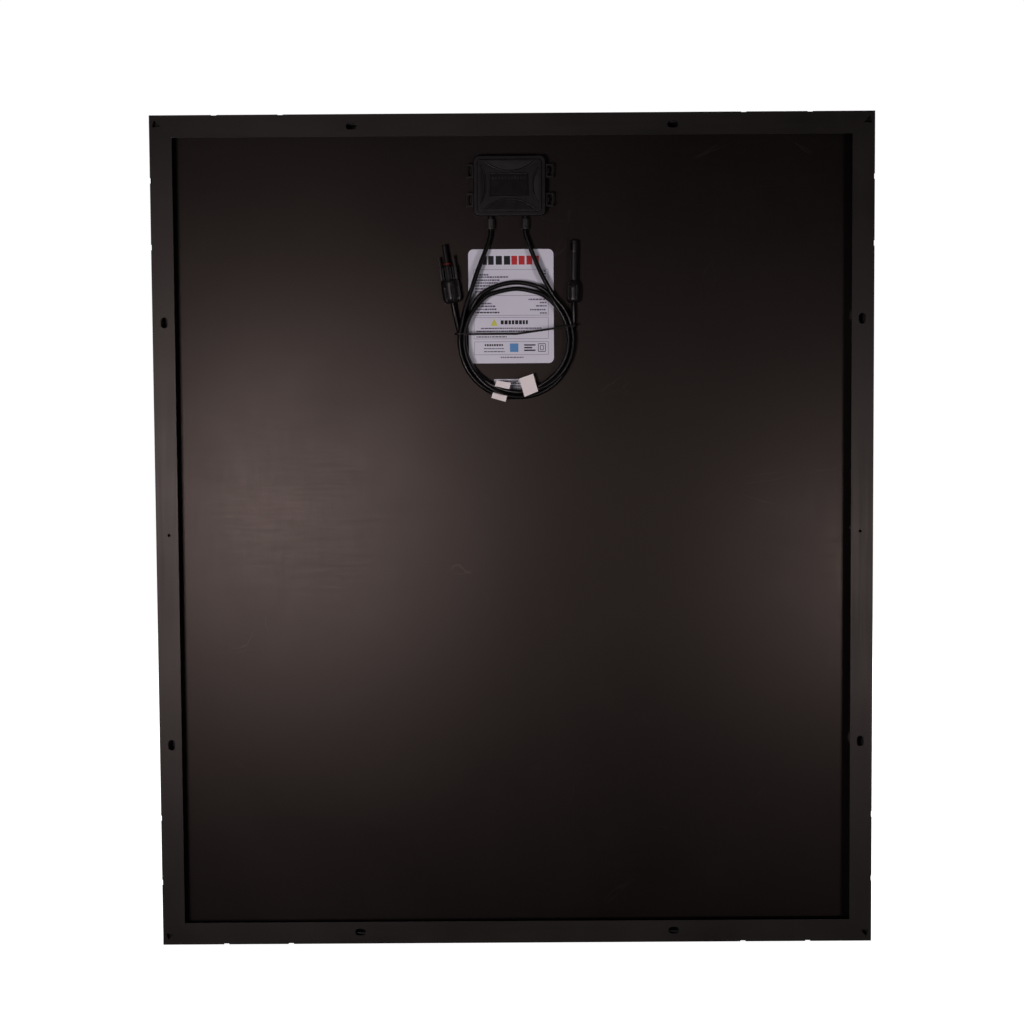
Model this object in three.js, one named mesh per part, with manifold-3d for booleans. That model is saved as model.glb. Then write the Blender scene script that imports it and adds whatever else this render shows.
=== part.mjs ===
// A framed photovoltaic panel that stands upright, with its rear face towards -Y and its glass towards +Y.
// +X is to the right of someone who looks at the rear face, +Z is up, and the origin is at the middle of
// the bottom edge. Every length is in millimetres. Depths are counted from the rear face towards the glass.
import * as THREE from "three";
import { mergeVertices } from "three/addons/utils/BufferGeometryUtils.js";
import Module from "manifold-3d";

const wasm = await Module();
wasm.setup();

// Driving dimensions: the panel
const PANEL_WIDTH = 940;
const PANEL_HEIGHT = 1090;
const PANEL_DEPTH = 35;
const GAP = 0.3;

// The frame's section, measured inwards from the outer wall and forwards from the rear face
const WALL = 1.6;
const CHAMBER_WALL = 1.9;
const WEB = 1.4;
const FLANGE_WIDTH = 29;
const FLANGE_THICKNESS = 1.8;
const CHAMBER_WIDTH = 11.4;
const CHAMBER_REAR = 13;
const SHELF_FRONT = 27.6;
const LIP_REAR = 33.4;
const LIP_WIDTH = 10;

// Holes in the frame
const SLOT_WIDTH = 9;
const SLOT_LENGTH = 14;
const SLOT_FACETS = 10;
const SLOT_INSET = 15.5;
const SLOT_OFFSET_LEVEL = 208;
const SLOT_OFFSET_UPRIGHT = 277.5;
const EARTH_HOLE_RADIUS = 2;
const EARTH_HOLE_INSET = 17;
const NOTCH_FROM_END = [84, 170];
const NOTCH_LENGTH = 7;
const NOTCH_DEPTH = 2.6;
// Corners of the punched notch beside each mitre, as [from the rail's end, from the outer wall]
const MITRE_NOTCH = [[6.5, 6.5], [6.5, 14.5], [14.5, 14.5], [15.5, 4]];
const KEY_LENGTH = 48;

// The laminate, as depths from the rear face; each layer is followed by a small gap
const LAMINATE_INSET = 2.7;
const BACKSHEET = [28.2, 28.5];
const REAR_FILM = [28.55, 28.95];
const CELLS = [29, 29.2];
const FRONT_FILM = [29.25, 29.65];
const GLASS = [29.7, 32.9];
const STRING_COUNT = 5;
const STRING_WIDTH = 182;
const STRING_SPACING = 183.5;
const STRING_HEIGHT = 1048;
const BUS_WIDTH = 6;
const BUS_FROM_EDGE = 16;

// The junction box
const BOX_X = -3.7;
const BOX_Z = 998.2;
const LID_WIDTH = 94.5;
const LID_HEIGHT = 78.5;
const LID_CORNER = 8;
const LID_FIELD = [7, 8.6];
const LID_SKIRT_DEEP = 14.5;
const LID_INSIDE = 9.8;
const LID_WALL = 1.8;
const PLATE_RECESS = { x: -0.6, z: 0.8, width: 51, height: 29.5, depth: 0.9 };
// Bowed pockets round the plate recess: two ends and the middle of each curve, from the box's own middle
const POCKETS = [
  [[-32, 31.3], [0.5, 18.6], [33, 31.3]],
  [[-32, -30.6], [0.5, -17.6], [33, -30.6]],
  [[-37.4, 26], [-31, 1.5], [-37.4, -23.5]],
  [[38, 22.5], [29.8, -0.5], [38, -23.5]],
];
const POCKET_DEPTH = 1;
const BASE_WIDTH = 90;
const BASE_HEIGHT = 74;
const BASE_CORNER = 7;
const BASE_WALL = 2.2;
const BASE = [11.3, 26.9];
const BASE_FLOOR = 24.9;
const LOOP_HEIGHT = 18;
const LOOP_REACH = 57;
const LOOP_WINDOW = { near: 49.6, far: 55.2, height: 13 };
const CLIP_POST = { width: 1.4, height: 6, clear: 0.4 };
const LOOP_DEPTHS = [12, 14.5];
const LOOP_Z = [19.4, -18];
const LEAD_SLOT = { x: -2.3, z: 19.8, width: 56, height: 10 };

// The two cable glands, under the box
const GLAND_X = [-25, 20.4];
const GLAND_DEPTH = 19.5;
const GLAND_NUT_RADIUS = 5.6;
const GLAND_NUT_TOP = 956;
const GLAND_NUT_END = 942.5;
const NECK_RADIUS = 4;
const NECK_END = 949.5;

// The cable, its coil and the two connectors
const CABLE_RADIUS = 3;
const COIL_X = 4.2;
const COIL_Z = 798.2;
const COIL_DEPTH = 19;
const COIL_RADIUS = 71.5;
const COIL_SECTION = 7.5;
const PROBE_PLACE = { x: -78.8, z: 846.6, depth: 15.7, tilt: -8.16 };
const BARREL_PLACE = { x: 79.4, z: 846.4, depth: 18.4, tilt: 0.9 };
const PROBE_LENGTH = 76.8;
const BARREL_LENGTH = 81.2;
const WINDOW_TURN = THREE.MathUtils.degToRad(38);

// Flat goods
const LABEL = [27.98, 28.1];
const RATING_LABEL = { x: -2.6, z: 842.9, width: 112.2, height: 149.6, corner: 7 };
const SERIAL_LABEL = { x: -5.4, z: 739.1, width: 41, height: 16.2, corner: 1 };
const FLAG = [10.9, 11.2];
// The band bows out a little at its kink, and rises to the right of it
const TIE = {
  left: -77.1, right: 85, rear: 27.75, front: 10.1, corner: 5, thickness: 1.1, width: 2, z: 806.3,
  kink: 4.7, bow: 0.1, rise: 0.138,
};

const finishes = {
  anodised: { color: 0x231f20, roughness: 0.42, metalness: 0.75 },
  bare_metal: { color: 0xb9bbbd, roughness: 0.4, metalness: 0.9 },
  tinned: { color: 0xc9c4b8, roughness: 0.3, metalness: 0.95 },
  glass: { color: 0x16181c, roughness: 0.05, metalness: 0 },
  film: { color: 0xd8dadb, roughness: 0.5, metalness: 0 },
  silicon: { color: 0x101418, roughness: 0.3, metalness: 0.3 },
  sheet: { color: 0x14110f, roughness: 0.5, metalness: 0 },
  plastic: { color: 0x161617, roughness: 0.5, metalness: 0 },
  rubber: { color: 0x1f1f20, roughness: 0.8, metalness: 0 },
  red_rubber: { color: 0xb3261e, roughness: 0.55, metalness: 0 },
  sealant: { color: 0x2a2a2b, roughness: 0.7, metalness: 0 },
  cable: { color: 0x121213, roughness: 0.5, metalness: 0 },
  paper: { color: 0xe4e1ec, roughness: 0.55, metalness: 0 },
};

const panel = new THREE.Group();

function add(name, geometry, finish, parent = panel) {
  const mesh = new THREE.Mesh(geometry, new THREE.MeshStandardMaterial(finishes[finish]));
  mesh.name = name;
  parent.add(mesh);
  return mesh;
}

function fromRear(depth) {
  return depth - PANEL_DEPTH / 2;
}

// ---- Outlines ----

function roundedRectangle(x, z, width, height, radius) {
  const shape = new THREE.Shape();
  const left = x - width / 2;
  const right = x + width / 2;
  const low = z - height / 2;
  const high = z + height / 2;
  shape.moveTo(left + radius, low);
  shape.lineTo(right - radius, low);
  shape.absarc(right - radius, low + radius, radius, -Math.PI / 2, 0);
  shape.lineTo(right, high - radius);
  shape.absarc(right - radius, high - radius, radius, 0, Math.PI / 2);
  shape.lineTo(left + radius, high);
  shape.absarc(left + radius, high - radius, radius, Math.PI / 2, Math.PI);
  shape.lineTo(left, low + radius);
  shape.absarc(left + radius, low + radius, radius, Math.PI, Math.PI * 1.5);
  return shape;
}

function rectangle(x, z, width, height) {
  return polygon([
    [x - width / 2, z - height / 2],
    [x + width / 2, z - height / 2],
    [x + width / 2, z + height / 2],
    [x - width / 2, z + height / 2],
  ]);
}

function polygon(points) {
  return new THREE.Shape(points.map(([x, y]) => new THREE.Vector2(x, y)));
}

function slotOutline(x, z) {
  const reach = (SLOT_LENGTH - SLOT_WIDTH) / 2;
  const shape = new THREE.Shape();
  shape.absarc(x + reach, z, SLOT_WIDTH / 2, -Math.PI / 2, Math.PI / 2);
  shape.absarc(x - reach, z, SLOT_WIDTH / 2, Math.PI / 2, Math.PI * 1.5);
  return shape;
}

function circle(x, z, radius) {
  const shape = new THREE.Shape();
  shape.absarc(x, z, radius, 0, Math.PI * 2);
  return shape;
}

// ---- Solids ----

// An outline drawn in X and Z, made solid between two depths.
function slab(shape, [rear, front], curveSegments = 5) {
  const settings = { depth: front - rear, bevelEnabled: false, curveSegments };
  const geometry = new THREE.ExtrudeGeometry(shape, settings);
  geometry.rotateX(Math.PI / 2);
  geometry.translate(0, fromRear(front), 0);
  return geometry;
}

// An outline drawn in depth and height, made solid along X with its middle at x.
function bar(points, length, x = 0, holes = []) {
  const shape = polygon(points);
  shape.holes = holes.map(polygon);
  const geometry = new THREE.ExtrudeGeometry(shape, { depth: length, bevelEnabled: false });
  const turn = new THREE.Matrix4().makeBasis(
    new THREE.Vector3(0, 1, 0),
    new THREE.Vector3(0, 0, 1),
    new THREE.Vector3(1, 0, 0),
  );
  geometry.applyMatrix4(turn);
  geometry.translate(x - length / 2, fromRear(0), 0);
  return geometry;
}

// A turned piece whose axis is Y, from a list of [radius, y] points that runs anticlockwise.
function turnedAboutY(points, segments) {
  return new THREE.LatheGeometry(points.map(([radius, y]) => new THREE.Vector2(radius, y)), segments);
}

// The same with the axis upright, from [radius, z] points.
function turned(points, segments = 20) {
  const geometry = turnedAboutY(points, segments);
  geometry.rotateX(Math.PI / 2);
  return geometry;
}

// A ring or sleeve whose axis is Z.
function sleeve(inner, outer, low, high, segments = 20) {
  return turned([[inner, low], [outer, low], [outer, high], [inner, high], [inner, low]], segments);
}

function rod(radius, low, high, segments = 20) {
  return turned([[0, low], [radius, low], [radius, high], [0, high]], segments);
}

function box(x, y, z, width, depth, height) {
  const geometry = new THREE.BoxGeometry(width, depth, height);
  geometry.translate(x, y, z);
  return geometry;
}

function toSolid(geometry) {
  const plain = geometry.clone();
  plain.deleteAttribute("normal");
  plain.deleteAttribute("uv");
  const merged = mergeVertices(plain, 1e-4);
  const vertProperties = new Float32Array(merged.attributes.position.array);
  const triVerts = new Uint32Array(merged.index.array);
  return new wasm.Manifold(new wasm.Mesh({ numProp: 3, vertProperties, triVerts }));
}

function toGeometry(solid) {
  const mesh = solid.getMesh();
  const geometry = new THREE.BufferGeometry();
  geometry.setAttribute("position", new THREE.BufferAttribute(new Float32Array(mesh.vertProperties), 3));
  geometry.setIndex(new THREE.BufferAttribute(new Uint32Array(mesh.triVerts), 1));
  return geometry;
}

function cut(geometry, tools) {
  return toGeometry(tools.reduce((solid, tool) => solid.subtract(toSolid(tool)), toSolid(geometry)));
}

function join(geometry, others) {
  return toGeometry(others.reduce((solid, other) => solid.add(toSolid(other)), toSolid(geometry)));
}

// ---- Frame ----

// Both ends are cut back at 45 degrees, more for points further in from the outer wall.
function mitre(geometry, length) {
  const position = geometry.attributes.position;
  for (let i = 0; i < position.count; i += 1) {
    const reach = length / 2 - position.getZ(i);
    position.setX(i, Math.sign(position.getX(i)) * reach);
  }
  return geometry;
}

const railSection = [
  [0, 0],
  [PANEL_DEPTH, 0],
  [PANEL_DEPTH, LIP_WIDTH],
  [LIP_REAR, LIP_WIDTH],
  [LIP_REAR, WALL],
  [SHELF_FRONT, WALL],
  [SHELF_FRONT, CHAMBER_WIDTH],
  [CHAMBER_REAR, CHAMBER_WIDTH],
  [CHAMBER_REAR, WALL],
  [FLANGE_THICKNESS, WALL],
  [FLANGE_THICKNESS, FLANGE_WIDTH],
  [0, FLANGE_WIDTH],
];
const chamberSection = [
  [CHAMBER_REAR + WEB, CHAMBER_WALL],
  [SHELF_FRONT - WEB, CHAMBER_WALL],
  [SHELF_FRONT - WEB, CHAMBER_WIDTH - WEB],
  [CHAMBER_REAR + WEB, CHAMBER_WIDTH - WEB],
];
const tapeSection = [
  [SHELF_FRONT + 0.1, 1.9],
  [LIP_REAR - 0.1, 1.9],
  [LIP_REAR - 0.1, 9],
  [LIP_REAR - 0.4, 9],
  [LIP_REAR - 0.4, 2.5],
  [SHELF_FRONT + 0.5, 2.5],
  [SHELF_FRONT + 0.5, 9],
  [SHELF_FRONT + 0.1, 9],
];

// A rail lies along X with its outer wall down; slots and holes are cut through its rear flange.
function rail(length, slotOffset, isUpright) {
  const through = [-1, FLANGE_THICKNESS + 1];
  const tools = [-slotOffset, slotOffset].map(
    (x) => slab(slotOutline(x, SLOT_INSET), through, SLOT_FACETS),
  );
  if (isUpright) {
    tools.push(slab(circle(0, EARTH_HOLE_INSET, EARTH_HOLE_RADIUS), through, SLOT_FACETS));
  }
  for (const side of [-1, 1]) {
    for (const fromEnd of NOTCH_FROM_END) {
      const x = side * (length / 2 - fromEnd);
      tools.push(slab(rectangle(x, 0, NOTCH_LENGTH, NOTCH_DEPTH * 2), [-1, 4]));
    }
    if (isUpright) {
      const corners = MITRE_NOTCH.map(([fromEnd, fromWall]) => [side * (length / 2 - fromEnd), fromWall]);
      tools.push(slab(polygon(corners), through));
    }
  }
  return cut(mitre(bar(railSection, length, 0, [chamberSection]), length), tools);
}

const sides = [
  { name: "bottom", turn: 0, x: 0, z: 0, length: PANEL_WIDTH, upright: false },
  { name: "top", turn: Math.PI, x: 0, z: PANEL_HEIGHT, length: PANEL_WIDTH, upright: false },
  {
    name: "left", turn: Math.PI / 2, x: -PANEL_WIDTH / 2, z: PANEL_HEIGHT / 2,
    length: PANEL_HEIGHT, upright: true,
  },
  {
    name: "right", turn: -Math.PI / 2, x: PANEL_WIDTH / 2, z: PANEL_HEIGHT / 2,
    length: PANEL_HEIGHT, upright: true,
  },
];

for (const side of sides) {
  const slotOffset = side.upright ? SLOT_OFFSET_UPRIGHT : SLOT_OFFSET_LEVEL;
  const place = new THREE.Group();
  place.position.set(side.x, 0, side.z);
  place.rotation.y = side.turn;
  panel.add(place);
  add(`frame_rail_${side.name}`, rail(side.length, slotOffset, side.upright), "anodised", place);
  add(`edge_tape_${side.name}`, mitre(bar(tapeSection, side.length), side.length), "sealant", place);
}

// L-shaped keys fill the chambers' ends and hold the corners together.
const keyPlaces = [
  ["bottom_left", -1, -1], ["bottom_right", 1, -1], ["top_left", -1, 1], ["top_right", 1, 1],
];
for (const [name, sideX, sideZ] of keyPlaces) {
  const outer = CHAMBER_WALL + GAP;
  const inner = CHAMBER_WIDTH - WEB - GAP;
  const corners = [
    [outer, outer], [KEY_LENGTH, outer], [KEY_LENGTH, inner],
    [inner, inner], [inner, KEY_LENGTH], [outer, KEY_LENGTH],
  ];
  const outline = corners.map(
    ([x, z]) => [sideX * (PANEL_WIDTH / 2 - x), PANEL_HEIGHT / 2 + sideZ * (PANEL_HEIGHT / 2 - z)],
  );
  const depths = [CHAMBER_REAR + WEB + GAP, SHELF_FRONT - WEB - GAP];
  add(`corner_key_${name}`, slab(polygon(outline), depths), "bare_metal");
}

// ---- Laminate ----

function sheet(depths, holes = []) {
  const outline = rectangle(
    0,
    PANEL_HEIGHT / 2,
    PANEL_WIDTH - LAMINATE_INSET * 2,
    PANEL_HEIGHT - LAMINATE_INSET * 2,
  );
  outline.holes = holes;
  return slab(outline, depths);
}

function leadSlot() {
  return rectangle(BOX_X + LEAD_SLOT.x, BOX_Z + LEAD_SLOT.z, LEAD_SLOT.width, LEAD_SLOT.height);
}

add("backsheet", sheet(BACKSHEET, [leadSlot()]), "sheet");
add("rear_encapsulant", sheet(REAR_FILM, [leadSlot()]), "film");
for (let i = 0; i < STRING_COUNT; i += 1) {
  const x = (i - (STRING_COUNT - 1) / 2) * STRING_SPACING;
  const string = slab(rectangle(x, PANEL_HEIGHT / 2, STRING_WIDTH, STRING_HEIGHT), CELLS);
  add(`cell_string_${i + 1}`, string, "silicon");
}
for (const [name, z] of [["bottom", BUS_FROM_EDGE], ["top", PANEL_HEIGHT - BUS_FROM_EDGE]]) {
  const width = STRING_SPACING * (STRING_COUNT - 1) + STRING_WIDTH;
  add(`bus_ribbon_${name}`, slab(rectangle(0, z, width, BUS_WIDTH), CELLS), "tinned");
}
add("front_encapsulant", sheet(FRONT_FILM), "film");
add("front_glass", sheet(GLASS), "glass");

// ---- Junction box ----

const lidField = roundedRectangle(BOX_X, BOX_Z, LID_WIDTH - 10, LID_HEIGHT - 10, LID_CORNER - 3);
const lidOutline = roundedRectangle(BOX_X, BOX_Z, LID_WIDTH, LID_HEIGHT, LID_CORNER);
const lidHollow = roundedRectangle(
  BOX_X, BOX_Z, LID_WIDTH - LID_WALL * 2, LID_HEIGHT - LID_WALL * 2, LID_CORNER - LID_WALL,
);
const recess = rectangle(
  BOX_X + PLATE_RECESS.x, BOX_Z + PLATE_RECESS.z, PLATE_RECESS.width, PLATE_RECESS.height,
);

function loop(side, z) {
  const inner = LID_WIDTH / 2 - LID_WALL / 2;
  const outline = rectangle(BOX_X + side * (inner + LOOP_REACH) / 2, z, LOOP_REACH - inner, LOOP_HEIGHT);
  const { near, far, height } = LOOP_WINDOW;
  outline.holes = [rectangle(BOX_X + side * (near + far) / 2, z, far - near, height)];
  return slab(outline, LOOP_DEPTHS);
}

// An ear on the base carries a post that stands in the loop, against its inner side.
function clipPost(side, z) {
  const inner = BASE_WIDTH / 2 - BASE_WALL / 2;
  const near = LOOP_WINDOW.near + CLIP_POST.clear;
  const far = near + CLIP_POST.width;
  const ear = slab(
    rectangle(BOX_X + side * (inner + far) / 2, z, far - inner, CLIP_POST.height),
    [LOOP_DEPTHS[1] + 0.5, LOOP_DEPTHS[1] + 2.5],
  );
  const post = slab(
    rectangle(BOX_X + side * (near + far) / 2, z, CLIP_POST.width, CLIP_POST.height),
    [LOOP_DEPTHS[0] - 1, LOOP_DEPTHS[1] + 1],
  );
  return [ear, post];
}

// The chord and the bowed side of a pocket: the bow passes through the middle point.
function pocketOutline([start, middle, end]) {
  const pull = middle.map((value, axis) => value * 2 - (start[axis] + end[axis]) / 2);
  const shape = new THREE.Shape();
  shape.moveTo(BOX_X + start[0], BOX_Z + start[1]);
  shape.quadraticCurveTo(BOX_X + pull[0], BOX_Z + pull[1], BOX_X + end[0], BOX_Z + end[1]);
  return shape;
}

const clips = [-1, 1].flatMap((side) => LOOP_Z.map((offset) => [side, BOX_Z + offset]));

const raisedField = slab(lidField, [LID_FIELD[0], LID_FIELD[1] + 0.1], 8);
const lidShell = join(slab(lidOutline, [LID_FIELD[1], LID_SKIRT_DEEP], 10), [raisedField]);
const lidOpen = cut(lidShell, [
  slab(lidHollow, [LID_INSIDE, LID_SKIRT_DEEP + 1], 8),
  slab(recess, [LID_FIELD[0] - 1, LID_FIELD[0] + PLATE_RECESS.depth]),
  ...POCKETS.map((bow) => slab(pocketOutline(bow), [LID_FIELD[0] - 1, LID_FIELD[0] + POCKET_DEPTH], 10)),
]);
add("junction_box_lid", join(lidOpen, clips.map(([side, z]) => loop(side, z))), "plastic");

const baseOutline = roundedRectangle(BOX_X, BOX_Z, BASE_WIDTH, BASE_HEIGHT, BASE_CORNER);
const baseHollow = roundedRectangle(
  BOX_X, BOX_Z, BASE_WIDTH - BASE_WALL * 2, BASE_HEIGHT - BASE_WALL * 2, BASE_CORNER - BASE_WALL,
);

const gasketRing = roundedRectangle(BOX_X, BOX_Z, BASE_WIDTH, BASE_HEIGHT, BASE_CORNER);
gasketRing.holes = [baseHollow];
add("lid_gasket", slab(gasketRing, [LID_INSIDE + 0.1, BASE[0] - 0.1]), "rubber");

// Terminal plates stand on pads on the floor; the two outer ones line up with the glands.
const TERMINALS = [
  { name: "left", x: BOX_X + GLAND_X[0], width: 12, low: -29.5, high: 13.5 },
  { name: "middle", x: BOX_X - 2.3, width: 10, low: -8, high: 13.5 },
  { name: "right", x: BOX_X + GLAND_X[1], width: 12, low: -29.5, high: 13.5 },
];
const PAD_DEPTH = 22.5;
const PLATE_DEPTHS = [21.4, 22.2];

function terminalOutline(terminal, margin) {
  const height = terminal.high - terminal.low;
  const z = BOX_Z + (terminal.high + terminal.low) / 2;
  return rectangle(terminal.x, z, terminal.width - margin * 2, height - margin * 2);
}

function upright(geometry, x, depth) {
  geometry.translate(x, fromRear(depth), 0);
  return geometry;
}

const baseBottom = BOX_Z - BASE_HEIGHT / 2;
const glandXs = GLAND_X.map((offset) => BOX_X + offset);
const necks = glandXs.map((x) => upright(rod(NECK_RADIUS, NECK_END, baseBottom + 1, 16), x, GLAND_DEPTH));
const bores = glandXs.map(
  (x) => upright(rod(3.3, NECK_END - 1, baseBottom + BASE_WALL + 1, 16), x, GLAND_DEPTH),
);
const baseShell = cut(slab(baseOutline, BASE, 8), [slab(baseHollow, [BASE[0] - 1, BASE_FLOOR], 6)]);
const basePads = TERMINALS.map(
  (terminal) => slab(terminalOutline(terminal, 1), [PAD_DEPTH, BASE_FLOOR + 0.5]),
);
const clipPosts = clips.flatMap(([side, z]) => clipPost(side, z));
const baseWithFittings = join(baseShell, [...necks, ...basePads, ...clipPosts]);
const ribbonSlot = slab(leadSlot(), [BASE_FLOOR - 1, BASE[1] + 1]);
add("junction_box_base", cut(baseWithFittings, [...bores, ribbonSlot]), "plastic");

const padOutline = roundedRectangle(BOX_X, BOX_Z, BASE_WIDTH - 4, BASE_HEIGHT - 4, BASE_CORNER - 2);
padOutline.holes = [leadSlot()];
add("box_adhesive", slab(padOutline, [BASE[1] + 0.1, BACKSHEET[0] - 0.1]), "sealant");

for (const terminal of TERMINALS) {
  add(`terminal_${terminal.name}`, slab(terminalOutline(terminal, 0), PLATE_DEPTHS), "tinned");
  const z = BOX_Z + LEAD_SLOT.z;
  const fold = [
    [REAR_FILM[1] - 0.1, z],
    [REAR_FILM[1] - 0.1, z + 0.3],
    [PLATE_DEPTHS[0] - 0.6, z + 0.3],
    [PLATE_DEPTHS[0] - 0.6, z - 13],
    [PLATE_DEPTHS[0] - 0.3, z - 13],
    [PLATE_DEPTHS[0] - 0.3, z],
  ];
  add(`lead_ribbon_${terminal.name}`, bar(fold, 5, terminal.x), "tinned");
}

// A bypass diode bridges each pair of neighbouring terminals.
for (const [name, first, second] of [["left", 0, 1], ["right", 1, 2]]) {
  const a = TERMINALS[first];
  const b = TERMINALS[second];
  const middle = (a.x + a.width / 2 + b.x - b.width / 2) / 2;
  const diode = turned([
    [0, -9.5], [0.6, -9.5], [0.6, -4.5], [2.6, -4.5], [2.6, 4.5], [0.6, 4.5], [0.6, 9.5], [0, 9.5],
  ], 16);
  diode.rotateY(Math.PI / 2);
  diode.translate(middle, fromRear(PLATE_DEPTHS[0] - 0.9), BOX_Z - 2);
  add(`bypass_diode_${name}`, diode, "plastic");
}

// ---- Cable glands ----

for (const [name, x] of [["left", glandXs[0]], ["right", glandXs[1]]]) {
  const nut = turned([
    [3.4, GLAND_NUT_END],
    [4.6, GLAND_NUT_END],
    [GLAND_NUT_RADIUS, GLAND_NUT_END + 2.5],
    [GLAND_NUT_RADIUS, GLAND_NUT_TOP],
    [NECK_RADIUS + GAP, GLAND_NUT_TOP],
    [NECK_RADIUS + GAP, NECK_END - 3],
    [3.4, NECK_END - 3],
    [3.4, GLAND_NUT_END],
  ], 12);
  add(`gland_nut_${name}`, upright(nut, x, GLAND_DEPTH), "plastic");
  const seal = sleeve(3.2, NECK_RADIUS, NECK_END - 2.7, NECK_END - GAP, 16);
  add(`gland_seal_${name}`, upright(seal, x, GLAND_DEPTH), "rubber");
  const conductorEnd = BOX_Z - 20;
  const cableEnd = turned([
    [0, GLAND_NUT_END + 0.1],
    [CABLE_RADIUS, GLAND_NUT_END + 0.1],
    [CABLE_RADIUS, baseBottom + 6],
    [1.4, baseBottom + 6],
    [1.4, conductorEnd],
    [0, conductorEnd],
  ], 12);
  add(`cable_end_${name}`, upright(cableEnd, x, GLAND_DEPTH), "cable");
}

// ---- Connectors ----

function connectorGroup(place) {
  const group = new THREE.Group();
  group.position.set(place.x, fromRear(place.depth), place.z);
  group.rotation.y = THREE.MathUtils.degToRad(place.tilt);
  panel.add(group);
  return group;
}

// The probe connector has a slim nose between two spring prongs, and a seal ring at the nose's root.
function probeConnector() {
  const group = connectorGroup(PROBE_PLACE);
  const nut = turned([
    [3.4, 0], [8.5, 0], [11, 3], [12, 7], [12, 27], [11, 30], [7.4, 30], [7.4, 3], [3.4, 3], [3.4, 0],
  ], 16);
  const nose = turned([
    [0, 8], [6.9, 8], [6.9, 31], [8, 31], [8, 47], [3.3, 47], [3.3, PROBE_LENGTH], [0, PROBE_LENGTH],
  ], 20);
  const grip = box(0, 0, 39, 23, 14, 16);
  const prongs = [-1, 1].map((side) => box(side * 8.9, 0, 53.5, 2.6, 6, 15));
  const body = join(nose, [grip, ...prongs]);
  const gaps = [-1, 1].map((side) => box(side * 6.7, 0, 43.5, 1.8, 20, 14));
  add("probe_connector_nut", nut, "plastic", group);
  const bores = [rod(2.1, 45, PROBE_LENGTH + 1, 12), rod(3.3, 7, 40, 12)];
  add("probe_connector_body", cut(body, [...bores, ...gaps]), "plastic", group);
  add("probe_connector_seal", sleeve(3.2, 6.8, 3.4, 7.6, 16), "rubber", group);
  add("probe_connector_ring", sleeve(3.6, 5, 50.6, 52.2, 16), "red_rubber", group);
  add("probe_connector_socket", sleeve(1, 1.8, 45.5, PROBE_LENGTH - 2, 10), "tinned", group);
}

// The barrel connector is a slim sleeve round a pin. Its two windows, for the other connector's prongs,
// are turned a little towards the rear on the left.
function barrelConnector() {
  const group = connectorGroup(BARREL_PLACE);
  const nut = turned([
    [3.4, 0], [6.5, 0], [9, 2.5], [9.4, 6], [9.4, 20], [7.4, 28], [5.6, 29.2], [5.6, 3], [3.4, 3], [3.4, 0],
  ], 16);
  const barrel = turned([
    [0, 8], [5.2, 8], [5.2, 30], [5.7, 31], [5.7, BARREL_LENGTH], [0, BARREL_LENGTH],
  ], 20);
  const windows = [-1, 1].map((side) => box(side * 4.9, 0, 73, 3, 5.6, 8).rotateZ(WINDOW_TURN));
  add("barrel_connector_nut", nut, "plastic", group);
  const bores = [rod(3.9, 46, BARREL_LENGTH + 1, 20), rod(3.2, 7, 40, 12)];
  add("barrel_connector_body", cut(barrel, [...bores, ...windows]), "plastic", group);
  add("barrel_connector_seal", sleeve(3.2, 5.1, 3.4, 7.6, 16), "rubber", group);
  add("barrel_connector_pin", rod(1.5, 46.3, BARREL_LENGTH - 11, 10), "tinned", group);
}

probeConnector();
barrelConnector();

// ---- Cable ----

// Both leads go one and a half times round one coil, which a tie holds as a round bundle.
function coilSolid(section) {
  const points = [];
  for (let i = 0; i <= 8; i += 1) {
    const angle = ((i % 8) / 8 + 1 / 16) * Math.PI * 2;
    const reach = section / Math.cos(Math.PI / 8);
    points.push([COIL_RADIUS + reach * Math.cos(angle), reach * Math.sin(angle)]);
  }
  const ring = turnedAboutY(points, 36);
  ring.translate(COIL_X, fromRear(COIL_DEPTH), COIL_Z);
  return ring;
}

const coilRoundness = Math.cos(Math.PI / 8);
add("cable_coil", coilSolid(COIL_SECTION * coilRoundness), "cable");

// Routes as [x, depth, z], by hand. Each ends inside the coil, where the coil's own solid takes over.
const routes = {
  left_lead: [
    [-28.7, 19.5, 942.2],
    [-29, 19.4, 936],
    [-31.6, 19, 926],
    [-36, 18.4, 914.5],
    [-41, 17.8, 902],
    [-46, 17.2, 889],
    [-50.4, 16.8, 876.5],
    [-54.8, 16.4, 863.5],
    [-59.4, 16.1, 850],
    [-63.8, 15.9, 836],
    [-67, 15.9, 822],
  ],
  right_lead: [
    [16.7, 19.5, 942.2],
    [17.1, 19.4, 936],
    [20.2, 19, 927.5],
    [24.4, 18.4, 915],
    [29.4, 17.8, 902.5],
    [34.8, 17.2, 889.8],
    [40.9, 16.6, 877.4],
    [47.2, 16.1, 866],
    [54, 15.9, 854],
  ],
  left_tail: [
    [-78.75, 15.7, 846.3],
    [-77.8, 16, 840],
    [-76, 17.4, 830],
    [-73.6, 19.6, 819],
    [-71, 21.8, 808],
  ],
  right_tail: [
    [79.4, 18.4, 846.1],
    [79.4, 18.5, 840],
    [79.6, 19.3, 830],
    [79.5, 20.6, 819],
    [78.6, 21.9, 806],
  ],
};

function tube(points, radius, sidesRound = 10) {
  const places = points.map(([x, depth, z]) => new THREE.Vector3(x, fromRear(depth), z));
  const path = new THREE.CatmullRomCurve3(places);
  const steps = Math.ceil(path.getLength() / (radius * 4));
  const section = polygon(
    Array.from({ length: sidesRound }, (_, i) => {
      const angle = (i / sidesRound) * Math.PI * 2;
      return [radius * Math.cos(angle), radius * Math.sin(angle)];
    }),
  );
  return new THREE.ExtrudeGeometry(section, { steps, extrudePath: path, bevelEnabled: false });
}

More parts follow.
